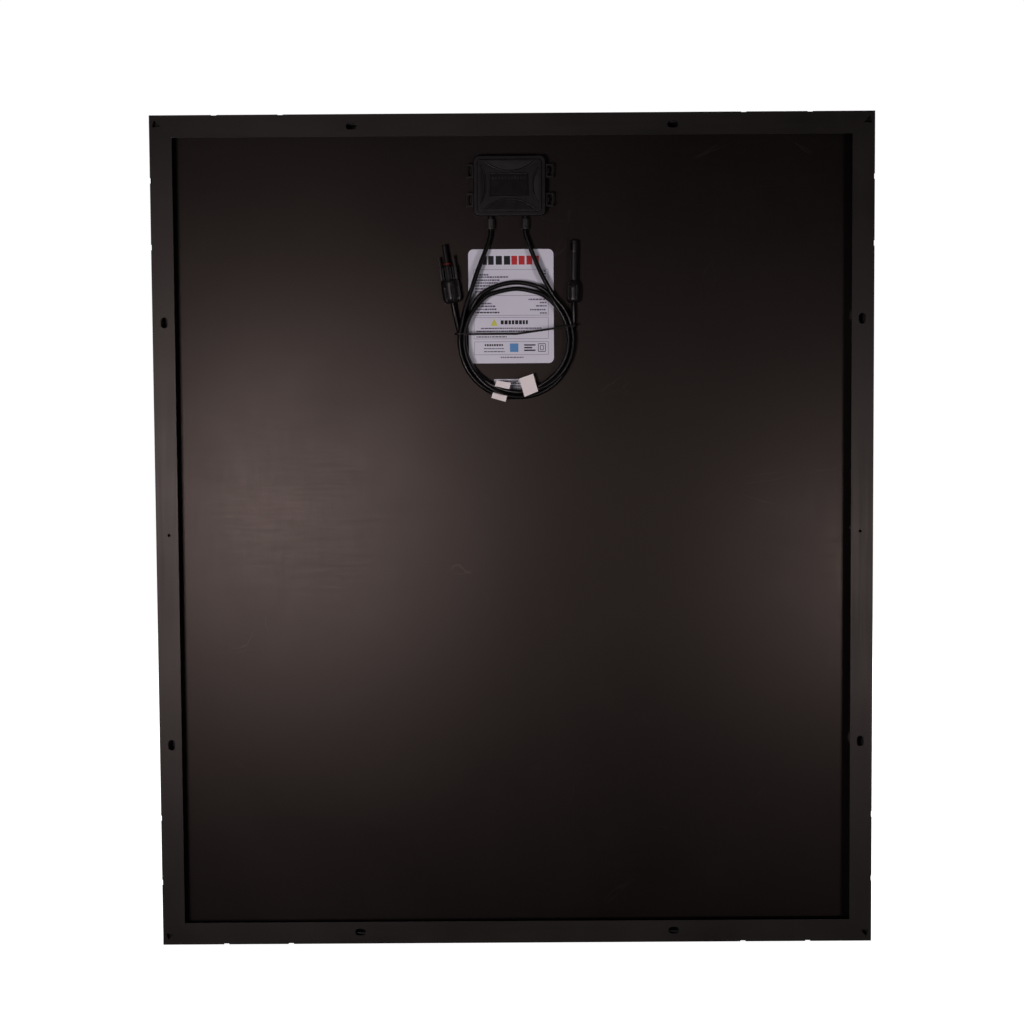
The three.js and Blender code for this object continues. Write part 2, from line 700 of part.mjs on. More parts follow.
for (const [name, points] of Object.entries(routes)) {
  add(`cable_${name}`, cut(tube(points, CABLE_RADIUS), [coilSolid(COIL_SECTION + GAP)]), "cable");
}

// ---- Tie, labels and flags ----

// One thin band goes round both sides of the coil. Its right half rises from a kink in the middle.
function tieOutline(inset) {
  const { left, right, rear, front, corner, kink, bow } = TIE;
  const radius = corner - inset;
  const [west, east, near, far] = [left + inset, right - inset, front + inset, rear - inset];
  const shape = new THREE.Shape();
  shape.moveTo(west + radius, near);
  shape.lineTo(kink, near - bow);
  shape.lineTo(east - radius, near);
  shape.absarc(east - radius, near + radius, radius, -Math.PI / 2, 0);
  shape.absarc(east - radius, far - radius, radius, 0, Math.PI / 2);
  shape.lineTo(kink, far + bow);
  shape.lineTo(west + radius, far);
  shape.absarc(west + radius, far - radius, radius, Math.PI / 2, Math.PI);
  shape.absarc(west + radius, near + radius, radius, Math.PI, Math.PI * 1.5);
  return shape;
}

function tieBand() {
  const { thickness, width, z, kink, rise } = TIE;
  const band = tieOutline(0);
  band.holes = [tieOutline(thickness)];
  const settings = { depth: width, bevelEnabled: false, curveSegments: 6 };
  const geometry = new THREE.ExtrudeGeometry(band, settings);
  geometry.translate(0, fromRear(0), z - width / 2);
  const position = geometry.attributes.position;
  for (let i = 0; i < position.count; i += 1) {
    position.setZ(i, position.getZ(i) + Math.max(0, position.getX(i) - kink) * rise);
  }
  return geometry;
}

add("cable_tie", tieBand(), "plastic");

for (const [name, label] of [["rating_label", RATING_LABEL], ["serial_label", SERIAL_LABEL]]) {
  const outline = roundedRectangle(label.x, label.z, label.width, label.height, label.corner);
  add(name, slab(outline, LABEL, 8), "paper");
}

const flags = {
  left: [[-22.4, 745.4], [-3.4, 742], [-10.8, 717.1], [-29.2, 722.5]],
  right: [[7.2, 747.2], [25.7, 753.7], [32.1, 730.6], [14.3, 723.5]],
};
for (const [name, corners] of Object.entries(flags)) {
  add(`cable_flag_${name}`, slab(polygon(corners), FLAG), "paper");
}

export default panel;
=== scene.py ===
import math
import random

import bmesh
import bpy
from mathutils import Matrix, Vector


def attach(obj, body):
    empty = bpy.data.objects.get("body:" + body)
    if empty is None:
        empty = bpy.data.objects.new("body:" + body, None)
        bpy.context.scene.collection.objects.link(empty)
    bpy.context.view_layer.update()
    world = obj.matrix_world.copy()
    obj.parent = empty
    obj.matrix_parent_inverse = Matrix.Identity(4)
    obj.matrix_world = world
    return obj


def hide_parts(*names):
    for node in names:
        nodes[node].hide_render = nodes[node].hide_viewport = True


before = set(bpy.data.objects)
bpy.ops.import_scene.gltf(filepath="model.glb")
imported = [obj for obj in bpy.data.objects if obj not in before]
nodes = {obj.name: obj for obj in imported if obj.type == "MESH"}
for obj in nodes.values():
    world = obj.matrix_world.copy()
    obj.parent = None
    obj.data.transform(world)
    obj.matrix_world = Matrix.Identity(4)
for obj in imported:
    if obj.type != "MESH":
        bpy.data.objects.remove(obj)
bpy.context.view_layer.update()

MM = 0.001
HALF_DEPTH = 17.5


def point(x, depth, z):
    """A place in metres, from millimetres and a depth counted from the rear face towards the glass."""
    return Vector((x, depth - HALF_DEPTH, z)) * MM


# ---- camera

camera_data = bpy.data.cameras.new("camera")
camera_data.lens = 59.8
camera_data.sensor_width = 36
camera = bpy.data.objects.new("camera", camera_data)
camera.location = (0.0005, -2.2426, 0.6934)
camera.rotation_euler = [math.radians(a) for a in (90 - 3.099, 0.368, 0.073)]
bpy.context.scene.collection.objects.link(camera)
bpy.context.scene.camera = camera

# ---- shader nodes


class Finish:
    """One procedural material, built node by node. Textures follow the piece's own coordinates, in metres."""

    def __init__(self, name, **fixed):
        self.material = bpy.data.materials.new(name)
        self.material.use_nodes = True
        self.tree = self.material.node_tree
        self.surface = self.tree.nodes["Principled BSDF"]
        for socket, value in fixed.items():
            self.surface.inputs[socket.replace("_", " ")].default_value = value
        self.place = self.tree.nodes.new("ShaderNodeTexCoord").outputs["Object"]

    def connect(self, value, socket):
        if isinstance(value, bpy.types.NodeSocket):
            self.tree.links.new(value, socket)
        else:
            socket.default_value = value

    def node(self, kind, inputs, **settings):
        node = self.tree.nodes.new(kind)
        for key, value in settings.items():
            setattr(node, key, value)
        for key, value in inputs.items():
            self.connect(value, node.inputs[key])
        return node

    def stretched(self, stretch):
        return self.node("ShaderNodeVectorMath", {0: self.place, 1: stretch}, operation="MULTIPLY").outputs[0]

    def noise(self, scale, detail=4.0, stretch=(1, 1, 1), distortion=0.0, offset=(0, 0, 0)):
        vector = self.stretched(stretch)
        if any(offset):
            vector = self.node("ShaderNodeVectorMath", {0: vector, 1: offset}, operation="ADD").outputs[0]
        inputs = {"Vector": vector, "Scale": scale, "Detail": detail, "Distortion": distortion}
        return self.node("ShaderNodeTexNoise", inputs).outputs["Fac"]

    def cells(self, scale, stretch=(1, 1, 1), feature="F1", output="Distance"):
        inputs = {"Vector": self.stretched(stretch), "Scale": scale}
        return self.node("ShaderNodeTexVoronoi", inputs, feature=feature).outputs[output]

    def axis(self, index):
        return self.node("ShaderNodeSeparateXYZ", {0: self.place}).outputs[index]

    def math(self, operation, a, b=0.0):
        return self.node("ShaderNodeMath", {0: a, 1: b}, operation=operation).outputs[0]

    def span(self, value, low, high, to_low=0.0, to_high=1.0):
        inputs = {0: value, 1: low, 2: high, 3: to_low, 4: to_high}
        return self.node("ShaderNodeMapRange", inputs).outputs[0]

    def swing(self, value, low=0.0, high=1.0):
        """The range that a noise texture mostly keeps to, spread from one value to another."""
        return self.span(value, 0.3, 0.7, low, high)

    def blend(self, factor, a, b):
        a, b = [(*c, 1) if isinstance(c, tuple) and len(c) == 3 else c for c in (a, b)]
        return self.node("ShaderNodeMix", {0: factor, 6: a, 7: b}, data_type="RGBA").outputs[2]

    def bump(self, height, distance, strength=1.0, under=None):
        inputs = {"Height": height, "Distance": distance, "Strength": strength}
        if under is not None:
            inputs["Normal"] = under
        return self.node("ShaderNodeBump", inputs).outputs[0]

    def done(self, **sockets):
        for socket, value in sockets.items():
            self.connect(value, self.surface.inputs[socket.replace("_", " ")])
        return self.material


def grey(value, warm=0.0):
    return (value * (1 + warm), value, value * (1 - warm))


# ---- materials

POLISH = 0.04
STRING_SPACING = 183.5
STRIP_PITCH = 29.1


def anodised(name, stretch, tone=0.005):
    """Black anodised aluminium: die lines along the extrusion, a fine matt etch, rubbed patches."""
    f = Finish(name, IOR=1.48, Specular_Tint=(1, 0.82, 0.78, 1))
    lines = f.noise(420, 3, stretch)
    cloud = f.noise(9, 5)
    etch = f.noise(2600, 2)
    rub = f.span(f.noise(38, 6, (1, 1, 1), 0.6), 0.58, 0.78)
    colour = f.blend(f.swing(cloud), grey(tone * 0.8, 0.05), grey(tone * 1.2, 0.07))
    colour = f.blend(f.math("MULTIPLY", rub, 0.35), colour, grey(tone * 2.2, 0.04))
    rough = f.math("ADD", f.swing(lines, 0.375, 0.415), f.swing(cloud, -0.03, 0.04))
    normal = f.bump(lines, 0.000012, 0.6, f.bump(etch, 0.000008, 0.5))
    return f.done(Base_Color=colour, Roughness=rough, Normal=normal)


def worn_edge():
    """The frame's arrises, where the black is thin and here and there knocked off to bare metal."""
    f = Finish("anodised_edge", Metallic=0.5)
    chips = f.span(f.noise(210, 5, (1, 1, 1), 0.4), 0.66, 0.7)
    thin = f.span(f.noise(30, 4), 0.35, 0.7)
    colour = f.blend(thin, grey(0.02, 0.05), grey(0.07, 0.05))
    colour = f.blend(chips, colour, grey(0.5, 0.02))
    return f.done(Base_Color=colour, Roughness=f.span(thin, 0, 1, 0.38, 0.3))


def bare_metal():
    f = Finish("key_metal", Metallic=0.95)
    pits = f.noise(900, 5)
    cloud = f.noise(60, 4)
    colour = f.blend(cloud, grey(0.42, 0.01), grey(0.62, 0.02))
    return f.done(Base_Color=colour, Roughness=f.swing(pits, 0.35, 0.55), Normal=f.bump(pits, 0.00003, 0.5))


def backsheet_finish():
    """Black laminate backing: satin film with faint draw streaks, hairline scratches and dust."""
    f = Finish("backsheet_film", IOR=1.4, Specular_Tint=(1, 0.76, 0.7, 1))
    streaks = f.noise(60, 4, (9, 1, 0.5))
    cross = f.noise(60, 4, (0.4, 1, 7), 0.0, (3, 1, 5))
    cloud = f.noise(3.2, 4, (1, 1, 1), 0.4)
    grain = f.noise(1500, 3)
    ripple = f.noise(22, 3, (1, 1, 0.6), 0.3)
    arcs = f.cells(5.5, (1, 1, 1.4), "DISTANCE_TO_EDGE")
    warped = f.math("ADD", arcs, f.span(f.noise(7, 3, (1, 1, 1), 1.2), 0, 1, -0.12, 0.12))
    line = f.span(f.math("ABSOLUTE", warped), 0.0, 0.0028, 1, 0)
    mask = f.span(f.noise(11, 2, (1, 1, 1), 0.0, (7, 2, 4)), 0.58, 0.66)
    scratch = f.math("MULTIPLY", line, mask)
    specks = f.span(f.cells(48, (1, 1, 1)), 0.012, 0.03, 1, 0)
    rare = f.span(f.cells(48, (1, 1, 1), "F1", "Color"), 0.82, 0.84)
    dust = f.math("MULTIPLY", specks, rare)
    colour = f.blend(f.swing(cloud), grey(0.0007, 0.1), grey(0.0012, 0.12))
    colour = f.blend(f.math("MULTIPLY", scratch, 0.35), colour, grey(0.06, 0.08))
    colour = f.blend(f.math("MULTIPLY", dust, 0.8), colour, grey(0.22, 0.02))
    rough = f.math("ADD", f.swing(streaks, 0.345, 0.365), f.swing(cross, -0.012, 0.012))
    rough = f.math("ADD", rough, f.span(cloud, 0.25, 0.75, -0.03, 0.03))
    normal = f.bump(grain, 0.000012, 0.5, f.bump(ripple, 0.00022, 0.5, f.bump(streaks, 0.00002, 0.5)))
    return f.done(Base_Color=colour, Roughness=rough, Normal=normal)


def moulded(name, tone, rough, grain=900, depth=0.00003, coat=0.0, ior=1.5):
    """Moulded polymer: spark-eroded grain, slight flow marks, handling polish on the high spots."""
    f = Finish(name, IOR=ior, Specular_Tint=(1, 0.86, 0.9, 1), Coat_Weight=coat, Coat_Roughness=0.1)
    fine = f.noise(grain, 4)
    marks = f.noise(45, 4, (1, 1, 0.35), 0.8)
    patch = f.noise(120, 3)
    colour = f.blend(f.swing(marks), grey(tone * 0.8, 0.05), grey(tone * 1.25, 0.07))
    mixed = f.math("ADD", f.swing(patch, rough - POLISH, rough + POLISH), f.swing(fine, -0.03, 0.03))
    return f.done(Base_Color=colour, Roughness=mixed, Normal=f.bump(fine, depth, 0.6))


def cable_finish():
    """Cross-linked cable jacket: drawn streaks, slight scuffs, a faint waxy sheen."""
    f = Finish("cable_jacket_skin", IOR=1.4, Specular_Tint=(1, 0.88, 0.9, 1))
    streak = f.noise(500, 3)
    scuff = f.span(f.noise(90, 5, (1, 1, 1), 0.5), 0.55, 0.75)
    colour = f.blend(scuff, grey(0.0022), grey(0.006, 0.03))
    rough = f.swing(streak, 0.27, 0.35)
    return f.done(Base_Color=colour, Roughness=rough, Normal=f.bump(streak, 0.00002, 0.5))


def rubber(name, colour, rough=0.6):
    f = Finish(name, IOR=1.48)
    fine = f.noise(700, 4)
    dark = tuple(c * 0.7 for c in colour)
    bloom = f.span(f.noise(80, 5), 0.4, 0.7)
    mixed = f.blend(bloom, dark, colour)
    rough = f.swing(fine, rough - 0.08, rough + 0.08)
    return f.done(Base_Color=mixed, Roughness=rough, Normal=f.bump(fine, 0.00004, 0.5))


def contact_metal():
    f = Finish("tinned_copper", Metallic=1.0)
    crystal = f.cells(700, (1, 1, 1), "F1", "Color")
    brush = f.noise(900, 3, (1, 1, 0.2))
    colour = f.blend(f.swing(brush), (0.52, 0.5, 0.46), (0.72, 0.7, 0.66))
    rough = f.math("ADD", f.swing(brush, 0.22, 0.34), f.math("MULTIPLY", crystal, 0.06))
    return f.done(Base_Color=colour, Roughness=rough, Normal=f.bump(brush, 0.00001, 0.4))


def film_finish():
    """White printed polyester: near-smooth, with a faint lavender cast and a slight orange peel."""
    f = Finish("label_polyester", IOR=1.5)
    peel = f.noise(160, 3)
    cloud = f.noise(14, 4)
    colour = f.blend(f.swing(cloud), (0.70, 0.675, 0.78), (0.75, 0.73, 0.83))
    return f.done(Base_Color=colour, Roughness=f.swing(peel, 0.34, 0.44), Normal=f.bump(peel, 0.00002, 0.5))


def paper_finish():
    f = Finish("flag_paper_face", IOR=1.45)
    fibre = f.noise(900, 5, (1, 1, 1), 0.8)
    cloud = f.noise(60, 4)
    colour = f.blend(f.swing(cloud), (0.93, 0.81, 0.82), (0.98, 0.88, 0.88))
    return f.done(Base_Color=colour, Roughness=f.swing(fibre, 0.6, 0.75), Normal=f.bump(fibre, 0.00003, 0.5))


def ink(name, colour):
    """Printed ink, a little mottled, as thick as a coat of paint."""
    f = Finish(name, IOR=1.35)
    mottle = f.noise(700, 4)
    light = tuple(min(1.0, c * 1.2 + 0.006) for c in colour)
    mixed = f.blend(f.span(mottle, 0.35, 0.75), colour, light)
    return f.done(Base_Color=mixed, Roughness=f.swing(mottle, 0.4, 0.5))


def cell_finish():
    """Shingled silicon strips: silver fingers, a slightly different blue-black on each strip."""
    pitch = STRIP_PITCH * MM
    f = Finish("silicon", IOR=1.9)
    row = f.math("FLOOR", f.math("DIVIDE", f.axis(2), pitch))
    column = f.math("FLOOR", f.math("DIVIDE", f.axis(0), STRING_SPACING * MM))
    seed = f.node("ShaderNodeCombineXYZ", {0: row, 1: column, 2: 0.0}).outputs[0]
    shade = f.node("ShaderNodeTexWhiteNoise", {0: seed}).outputs["Value"]
    finger = f.math("FRACT", f.math("DIVIDE", f.axis(0), 0.0013))
    lines = f.span(f.math("ABSOLUTE", f.math("SUBTRACT", finger, 0.5)), 0.035, 0.06, 1, 0)
    crystal = f.noise(60, 5)
    colour = f.blend(shade, (0.0035, 0.0045, 0.009), (0.0055, 0.0075, 0.016))
    colour = f.blend(f.span(crystal, 0.3, 0.8, 0, 0.5), colour, (0.004, 0.005, 0.008))
    colour = f.blend(f.math("MULTIPLY", lines, 0.45), colour, (0.16, 0.17, 0.19))
    return f.done(Base_Color=colour, Roughness=f.swing(crystal, 0.3, 0.4))


def glass_finish():
    """Low-iron solar glass with a fine rolled texture."""
    f = Finish("solar_glass", IOR=1.45)
    f.surface.inputs["Transmission Weight"].default_value = 1.0
    texture = f.noise(520, 3)
    smear = f.noise(8, 5, (1, 1, 1), 0.6)
    tint = f.blend(smear, (0.97, 0.985, 0.98), (0.99, 0.995, 0.99))
    rough = f.span(smear, 0.3, 0.75, 0.05, 0.085)
    return f.done(Base_Color=tint, Roughness=rough, Normal=f.bump(texture, 0.000012, 0.4))


def encapsulant_finish():
    f = Finish("clear_film", IOR=1.45)
    f.surface.inputs["Transmission Weight"].default_value = 1.0
    haze = f.noise(20, 4)
    tint = f.blend(haze, (0.98, 0.985, 0.985), (1, 1, 1))
    return f.done(Base_Color=tint, Roughness=f.swing(haze, 0.02, 0.04))


level_metal = anodised("anodised_level", (0.02, 1, 1))
upright_metal = anodised("anodised_upright", (1, 1, 0.02))
edge_metal = worn_edge()
key_metal = bare_metal()
sheet_film = backsheet_finish()
box_plastic = moulded("box_plastic_skin", 0.004, 0.36, ior=1.4)
polished_plastic = moulded("box_plastic_polished", 0.0015, 0.33, 1200, 0.00001, ior=1.34)
nut_plastic = moulded("gland_plastic_skin", 0.024, 0.3, 1200, 0.00001, coat=0.9)
connector_plastic = moulded("connector_plastic_skin", 0.007, 0.33, 1200, 0.00002)
diode_body = moulded("diode_epoxy", 0.015, 0.5, 1500, 0.00002)
tie_plastic = moulded("tie_nylon", 0.002, 0.36, 1500, 0.00001, ior=1.33)
# Painted shade: a near-black, dull finish for the rails' faces inside the channel, where shadow falls.
painted_shade_inside = moulded("anodised_painted_shade", 0.0015, 0.7, 900, 0.00002)
cable_skin = cable_finish()
gasket = rubber("gasket_rubber_skin", (0.02, 0.02, 0.021))
sealant = rubber("silicone_bead", (0.03, 0.03, 0.032), 0.5)
red_rubber = rubber("red_seal", (0.3, 0.028, 0.024), 0.5)
contacts = contact_metal()
label_film = film_finish()
flag_paper = paper_finish()
silicon = cell_finish()
clear_glass = glass_finish()
clear_film = encapsulant_finish()

# ---- mesh helpers


def link(name, data):
    obj = bpy.data.objects.new(name, data)
    bpy.context.scene.collection.objects.link(obj)
    return obj


def from_lists(name, vertices, faces):
    """A closed mesh from points in metres."""
    mesh = bpy.data.meshes.new(name)
    mesh.from_pydata(vertices, [], faces)
    work = bmesh.new()
    work.from_mesh(mesh)
    bmesh.ops.recalc_face_normals(work, faces=work.faces)
    work.to_mesh(mesh)
    work.free()
    return link(name, mesh)


def prism(name, outline, rear, front, move=None):
    """An outline of [x, z] points made solid between two depths. All in millimetres."""
    count = len(outline)
    place = move or (lambda x, depth, z: point(x, depth, z))
    vertices = [place(x, rear, z) for x, z in outline] + [place(x, front, z) for x, z in outline]
    faces = [tuple(range(count)), tuple(range(2 * count - 1, count - 1, -1))]
    faces += [(i, i + count, (i + 1) % count + count, (i + 1) % count) for i in range(count)]
    return from_lists(name, vertices, faces)


def rounded(x, z, width, height, radius, steps=10):
    """The outline of a rectangle with round corners."""
    points = []
    for quarter, (side_x, side_z) in enumerate([(1, 1), (-1, 1), (-1, -1), (1, -1)]):
        for i in range(steps + 1):
            angle = (quarter + i / steps) * math.pi / 2
            points.append((
                x + side_x * (width / 2 - radius) + radius * math.cos(angle),
                z + side_z * (height / 2 - radius) + radius * math.sin(angle),
            ))
    return points


def box_outline(x, z, width, height):
    left, right, low, high = x - width / 2, x + width / 2, z - height / 2, z + height / 2
    return [(left, low), (right, low), (right, high), (left, high)]


def apply_modifiers(obj):
    mesh = bpy.data.meshes.new_from_object(obj.evaluated_get(bpy.context.evaluated_depsgraph_get()))
    obj.modifiers.clear()
    obj.data = mesh
    return obj


def combine(obj, operation, *tools):
    for tool in tools:
        modifier = obj.modifiers.new("cut", "BOOLEAN")
        modifier.operation, modifier.object, modifier.solver = operation, tool, "EXACT"
    apply_modifiers(obj)
    for tool in tools:
        bpy.data.objects.remove(tool)
    return obj


def cut(obj, *tools):
    return combine(obj, "DIFFERENCE", *tools)


def join(obj, *tools):
    return combine(obj, "UNION", *tools)


def clean(obj, angle=1.0):
    """Merges doubled points and takes out the edges between faces in one plane."""
    work = bmesh.new()
    work.from_mesh(obj.data)
    bmesh.ops.remove_doubles(work, verts=work.verts, dist=2e-6)
    bmesh.ops.dissolve_limit(work, angle_limit=math.radians(angle), verts=work.verts, edges=work.edges)
    work.to_mesh(obj.data)
    work.free()
    return obj


def soften(obj, width, segments=2, angle=32, edge_material=0):
    """Rounds the sharp edges by so many millimetres, and keeps the faces between them looking flat."""
    modifier = obj.modifiers.new("edges", "BEVEL")
    modifier.width, modifier.segments = width * MM, segments
    modifier.limit_method, modifier.angle_limit = "ANGLE", math.radians(angle)
    if edge_material:
        modifier.material = edge_material
    smooth(obj)
    modifier = obj.modifiers.new("normals", "WEIGHTED_NORMAL")
    modifier.mode, modifier.weight = "FACE_AREA", 80
    return obj


def smooth(obj):
    for face in obj.data.polygons:
        face.use_smooth = True
    return obj


def dress(obj, body, slot, *materials):
    """Gives a piece its material and its body."""
    obj.data.materials.clear()
    for material in materials:
        obj.data.materials.append(material)
    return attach(obj, body)


def copied(node, name):
    """A copy of a CAD node's mesh, with its flat faces whole again."""
    return clean(link(name, nodes[node].data.copy()))


def turned(name, profile, place, segments=64, shape=None):
    """A turned piece on a place's own axis, from [radius, height] points.
    A profile that starts away from the axis closes on itself."""
    rings, vertices, faces = [], [], []
    for radius, height in profile:
        if radius < 1e-6:
            rings.append([len(vertices)] * segments)
            vertices.append(place @ Vector((0, 0, height)))
            continue
        rings.append(list(range(len(vertices), len(vertices) + segments)))
        for i in range(segments):
            angle = i / segments * 2 * math.pi
            r = shape(angle, radius, height) if shape else radius
            vertices.append(place @ Vector((r * math.cos(angle), r * math.sin(angle), height)))
    if profile[0][0] > 1e-6:
        rings.append(rings[0])
    for low, high in zip(rings, rings[1:]):
        for i in range(segments):
            j = (i + 1) % segments
            corners = list(dict.fromkeys((low[i], low[j], high[j], high[i])))
            if len(corners) > 2:
                faces.append(corners)
    return from_lists(name, vertices, faces)


def local(place, tilt=0.0):
    """A connector's or gland's own frame: millimetres in, metres out, its axis upright before the tilt."""
    turn = Matrix.Rotation(math.radians(tilt), 4, "Y")
    return Matrix.Translation(point(*place)) @ turn @ Matrix.Scale(MM, 4)


def block(name, place, centre, size, round_by=0.0):
    """A box in a place's own frame, with edges rounded by so many millimetres."""
    vertices = [
        place @ Vector([c + s * d / 2 for c, s, d in zip(centre, (sx, sy, sz), size)])
        for sz in (-1, 1) for sy in (-1, 1) for sx in (-1, 1)
    ]
    faces = [(0, 2, 3, 1), (4, 5, 7, 6), (0, 1, 5, 4), (2, 6, 7, 3), (0, 4, 6, 2), (1, 3, 7, 5)]
    obj = from_lists(name, vertices, faces)
    if round_by:
        modifier = obj.modifiers.new("round", "BEVEL")
        modifier.width, modifier.segments = round_by * MM, 3
        apply_modifiers(obj)
    return obj


def smoothstep(value):
    t = max(0.0, min(1.0, value))
    return t * t * (3 - 2 * t)


# ---- cords

CABLE_DIAMETER = 6.0
CORD_SPACING = 2.5
COIL_CENTRE = (4.2, 798.2)
COIL_DEPTH = 19.0
COIL_RADIUS = 71.5
LANE = 3.1
GLAND_X = {"left": -28.7, "right": 16.7}
GLAND_DEPTH = 19.5
GLAND_END = 942.5

left_lead = [
    (GLAND_X["left"], GLAND_DEPTH, GLAND_END), (-29, 19.4, 936), (-31.6, 19, 926), (-36, 18.4, 914.5),
    (-41, 17.8, 902), (-46, 17.2, 889), (-50.4, 16.8, 876.5), (-54.8, 16.4, 863.5), (-59.4, 16.1, 850),
    (-63.8, 15.9, 836),
]
right_lead = [
    (GLAND_X["right"], GLAND_DEPTH, GLAND_END), (17.1, 19.4, 936), (20.2, 19, 927.5), (24.4, 18.4, 915),
    (29.4, 17.8, 902.5), (34.8, 17.2, 889.8), (40.9, 16.6, 877.4), (47.2, 16.1, 866),
]
left_tail = [(-73.6, 19.6, 819), (-76, 17.4, 830), (-77.8, 16, 840), (-78.8, 15.7, 847), (-79.2, 15.7, 849.8)]
right_tail = [
    (79.5, 20.6, 819), (79.6, 19.3, 830), (79.4, 18.5, 840), (79.4, 18.4, 847), (79.45, 18.4, 849.8),
]


def round_coil(angle, radial, depth):
    """A point beside the coil's middle line, counted anticlockwise from +X as seen from the rear."""
    radius = COIL_RADIUS + radial
    return (
        COIL_CENTRE[0] + radius * math.cos(math.radians(angle)),
        COIL_DEPTH + depth,
        COIL_CENTRE[1] + radius * math.sin(math.radians(angle)),
    )


def lane_place(angle, lane):
    """Where a strand lies at an angle round the coil. The lane is its place beside the coil's middle line,
    as radial + depth * 1j, on the side it came from. The bundle twists half round over the coil's foot, and
    spreads into one layer of strands over its top."""
    turn = angle % 360
    if turn >= 180:
        twist = math.pi * smoothstep((turn - 180) / 180)
        offset = lane * complex(math.cos(twist), math.sin(twist))
    else:
        rise, fall = smoothstep((turn - 38) / 28), smoothstep((turn - 122) / 38)
        spin = math.pi / 2 * (rise + fall)
        crown = smoothstep((38 - abs(turn - 90)) / 24)
        offset = complex(-LANE + 4.5 * (rise - fall) - 1.9 * crown, 0)
        apart = 1 + 0.33 * crown
        offset += complex(0, lane.imag) * complex(math.cos(spin), math.sin(spin)) * apart
    return round_coil(angle, offset.real, offset.imag)


def strand(start, end, step, passes):
    """Points round the coil from one angle to another. Each pass is an angle and the lane kept up to it.
    A lane given as a pair is kept as it stands, where a strand joins or leaves the coil."""
    points, angle = [], start
    while (end - angle) * step > 0:
        lane = next(l for limit, l in passes if (limit - angle) * step > 0)
        points.append(round_coil(angle, *lane) if isinstance(lane, tuple) else lane_place(angle, lane))
        angle += step
    return points


near_outer, far_outer = (LANE, -LANE), (LANE, LANE)
# As complex lanes on the left side for the bottom half, and on the right side for the top half.
outer_near, outer_far = complex(LANE, -LANE), complex(LANE, LANE)
inner_near, inner_far = complex(-LANE, -LANE), complex(-LANE, LANE)

left_route = left_lead + strand(163, 724, 10, [
    (180, near_outer), (360, outer_near), (540, inner_far), (720, inner_near), (900, far_outer),
]) + right_tail
right_route = right_lead + strand(46, -547, -10, [
    (0, near_outer), (-180, inner_far), (-360, inner_near), (-540, outer_far), (-900, far_outer),
]) + left_tail


def between(a, b, start, end, t):
    return a * ((end - t) / (end - start)) + b * ((t - start) / (end - start))


def catmull(points, spacing):
    """The same route with points about so many millimetres apart, on one smooth curve."""
    p = [Vector(q) for q in points]
    p = [p[0] * 2 - p[1], *p, p[-1] * 2 - p[-2]]
    out = []
    for a, b, c, d in zip(p, p[1:], p[2:], p[3:]):
        t1 = (b - a).length ** 0.5
        t2 = t1 + (c - b).length ** 0.5
        t3 = t2 + (d - c).length ** 0.5
        count = max(2, round((c - b).length / spacing))
        for i in range(count):
            t = t1 + (t2 - t1) * i / count
            a1 = between(a, b, 0, t1, t)
            a2 = between(b, c, t1, t2, t)
            a3 = between(c, d, t2, t3, t)
            out.append(between(between(a1, a2, 0, t2, t), between(a2, a3, t1, t3, t), t1, t2, t))
    return out + [p[-2]]


def lead(name, route, *replaced):
    curve = bpy.data.curves.new(name, "CURVE")
    curve.dimensions = "3D"
    curve.bevel_depth = CABLE_DIAMETER / 2 * MM
    curve.bevel_resolution = 5
    curve.use_fill_caps = True
    line = catmull(route, CORD_SPACING)
    spline = curve.splines.new("POLY")
    spline.points.add(len(line) - 1)
    for target, place in zip(spline.points, line):
        target.co = (*point(*place), 1)
    obj = link(name, curve)
    curve.materials.append(cable_skin)
    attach(obj, "panel")
    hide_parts(*replaced)
    return obj


left_lead_cord = lead("lead_left", left_route, "cable_left_lead", "cable_coil", "cable_right_tail")
right_lead_cord = lead("lead_right", right_route, "cable_right_lead", "cable_left_tail")

# ---- frame

HALF_WIDTH, HALF_HEIGHT = 470, 545
CHANNEL_DEPTHS = (1.7, 33.45)
RAIL_METALS = {"bottom": level_metal, "top": level_metal, "left": upright_metal, "right": upright_metal}


def paint_channel_shade(rail):
    """Painted shade: the faces of the channel behind the flange get a darker colour and a dull finish, as if
    in shadow.
    """
    for face in rail.data.polygons:
        x, y, z = face.center / MM
        outer = max(abs(x) - HALF_WIDTH, abs(z - HALF_HEIGHT) - HALF_HEIGHT) > -0.3
        if CHANNEL_DEPTHS[0] < y + HALF_DEPTH < CHANNEL_DEPTHS[1] and not outer:
            face.material_index = 2


for side, metal in RAIL_METALS.items():
    rail = copied(f"frame_rail_{side}", f"rail_{side}")
    dress(rail, "panel", "frame", metal, edge_metal, painted_shade_inside)
    # Painted shade goes on the faces inside each rail's channel.
    paint_channel_shade(rail)
    soften(rail, 0.4, 2, 32, edge_material=1)
    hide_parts(f"frame_rail_{side}")

# ---- cells under the glass

STRING_WIDTH = 182
STRING_HEIGHT = 1048
CELL_DEPTHS = (29.0, 29.2)
STRIP_THICKNESS = 0.08
STRIP_OVERLAP = 0.05


def shingled_string(name, x):
    """One string: 36 strips, each lying with its lower edge on the strip below."""
    low = HALF_HEIGHT - STRING_HEIGHT / 2
    count = round(STRING_HEIGHT / STRIP_PITCH)
    section = [(CELL_DEPTHS[0], low), (CELL_DEPTHS[0], low + STRING_HEIGHT)]
    for i in range(count, 0, -1):
        section.append((CELL_DEPTHS[0] + STRIP_THICKNESS, low + STRING_HEIGHT * i / count))
        section.append((CELL_DEPTHS[1], low + STRING_HEIGHT * (i - 1) / count + STRIP_OVERLAP))
    left, right = x - STRING_WIDTH / 2, x + STRING_WIDTH / 2
    total = len(section)
    vertices = [point(side, depth, z) for side in (left, right) for depth, z in section]
    faces = [tuple(range(total)), tuple(range(2 * total - 1, total - 1, -1))]
    faces += [(i, (i + 1) % total, (i + 1) % total + total, i + total) for i in range(total)]
    return from_lists(name, vertices, faces)


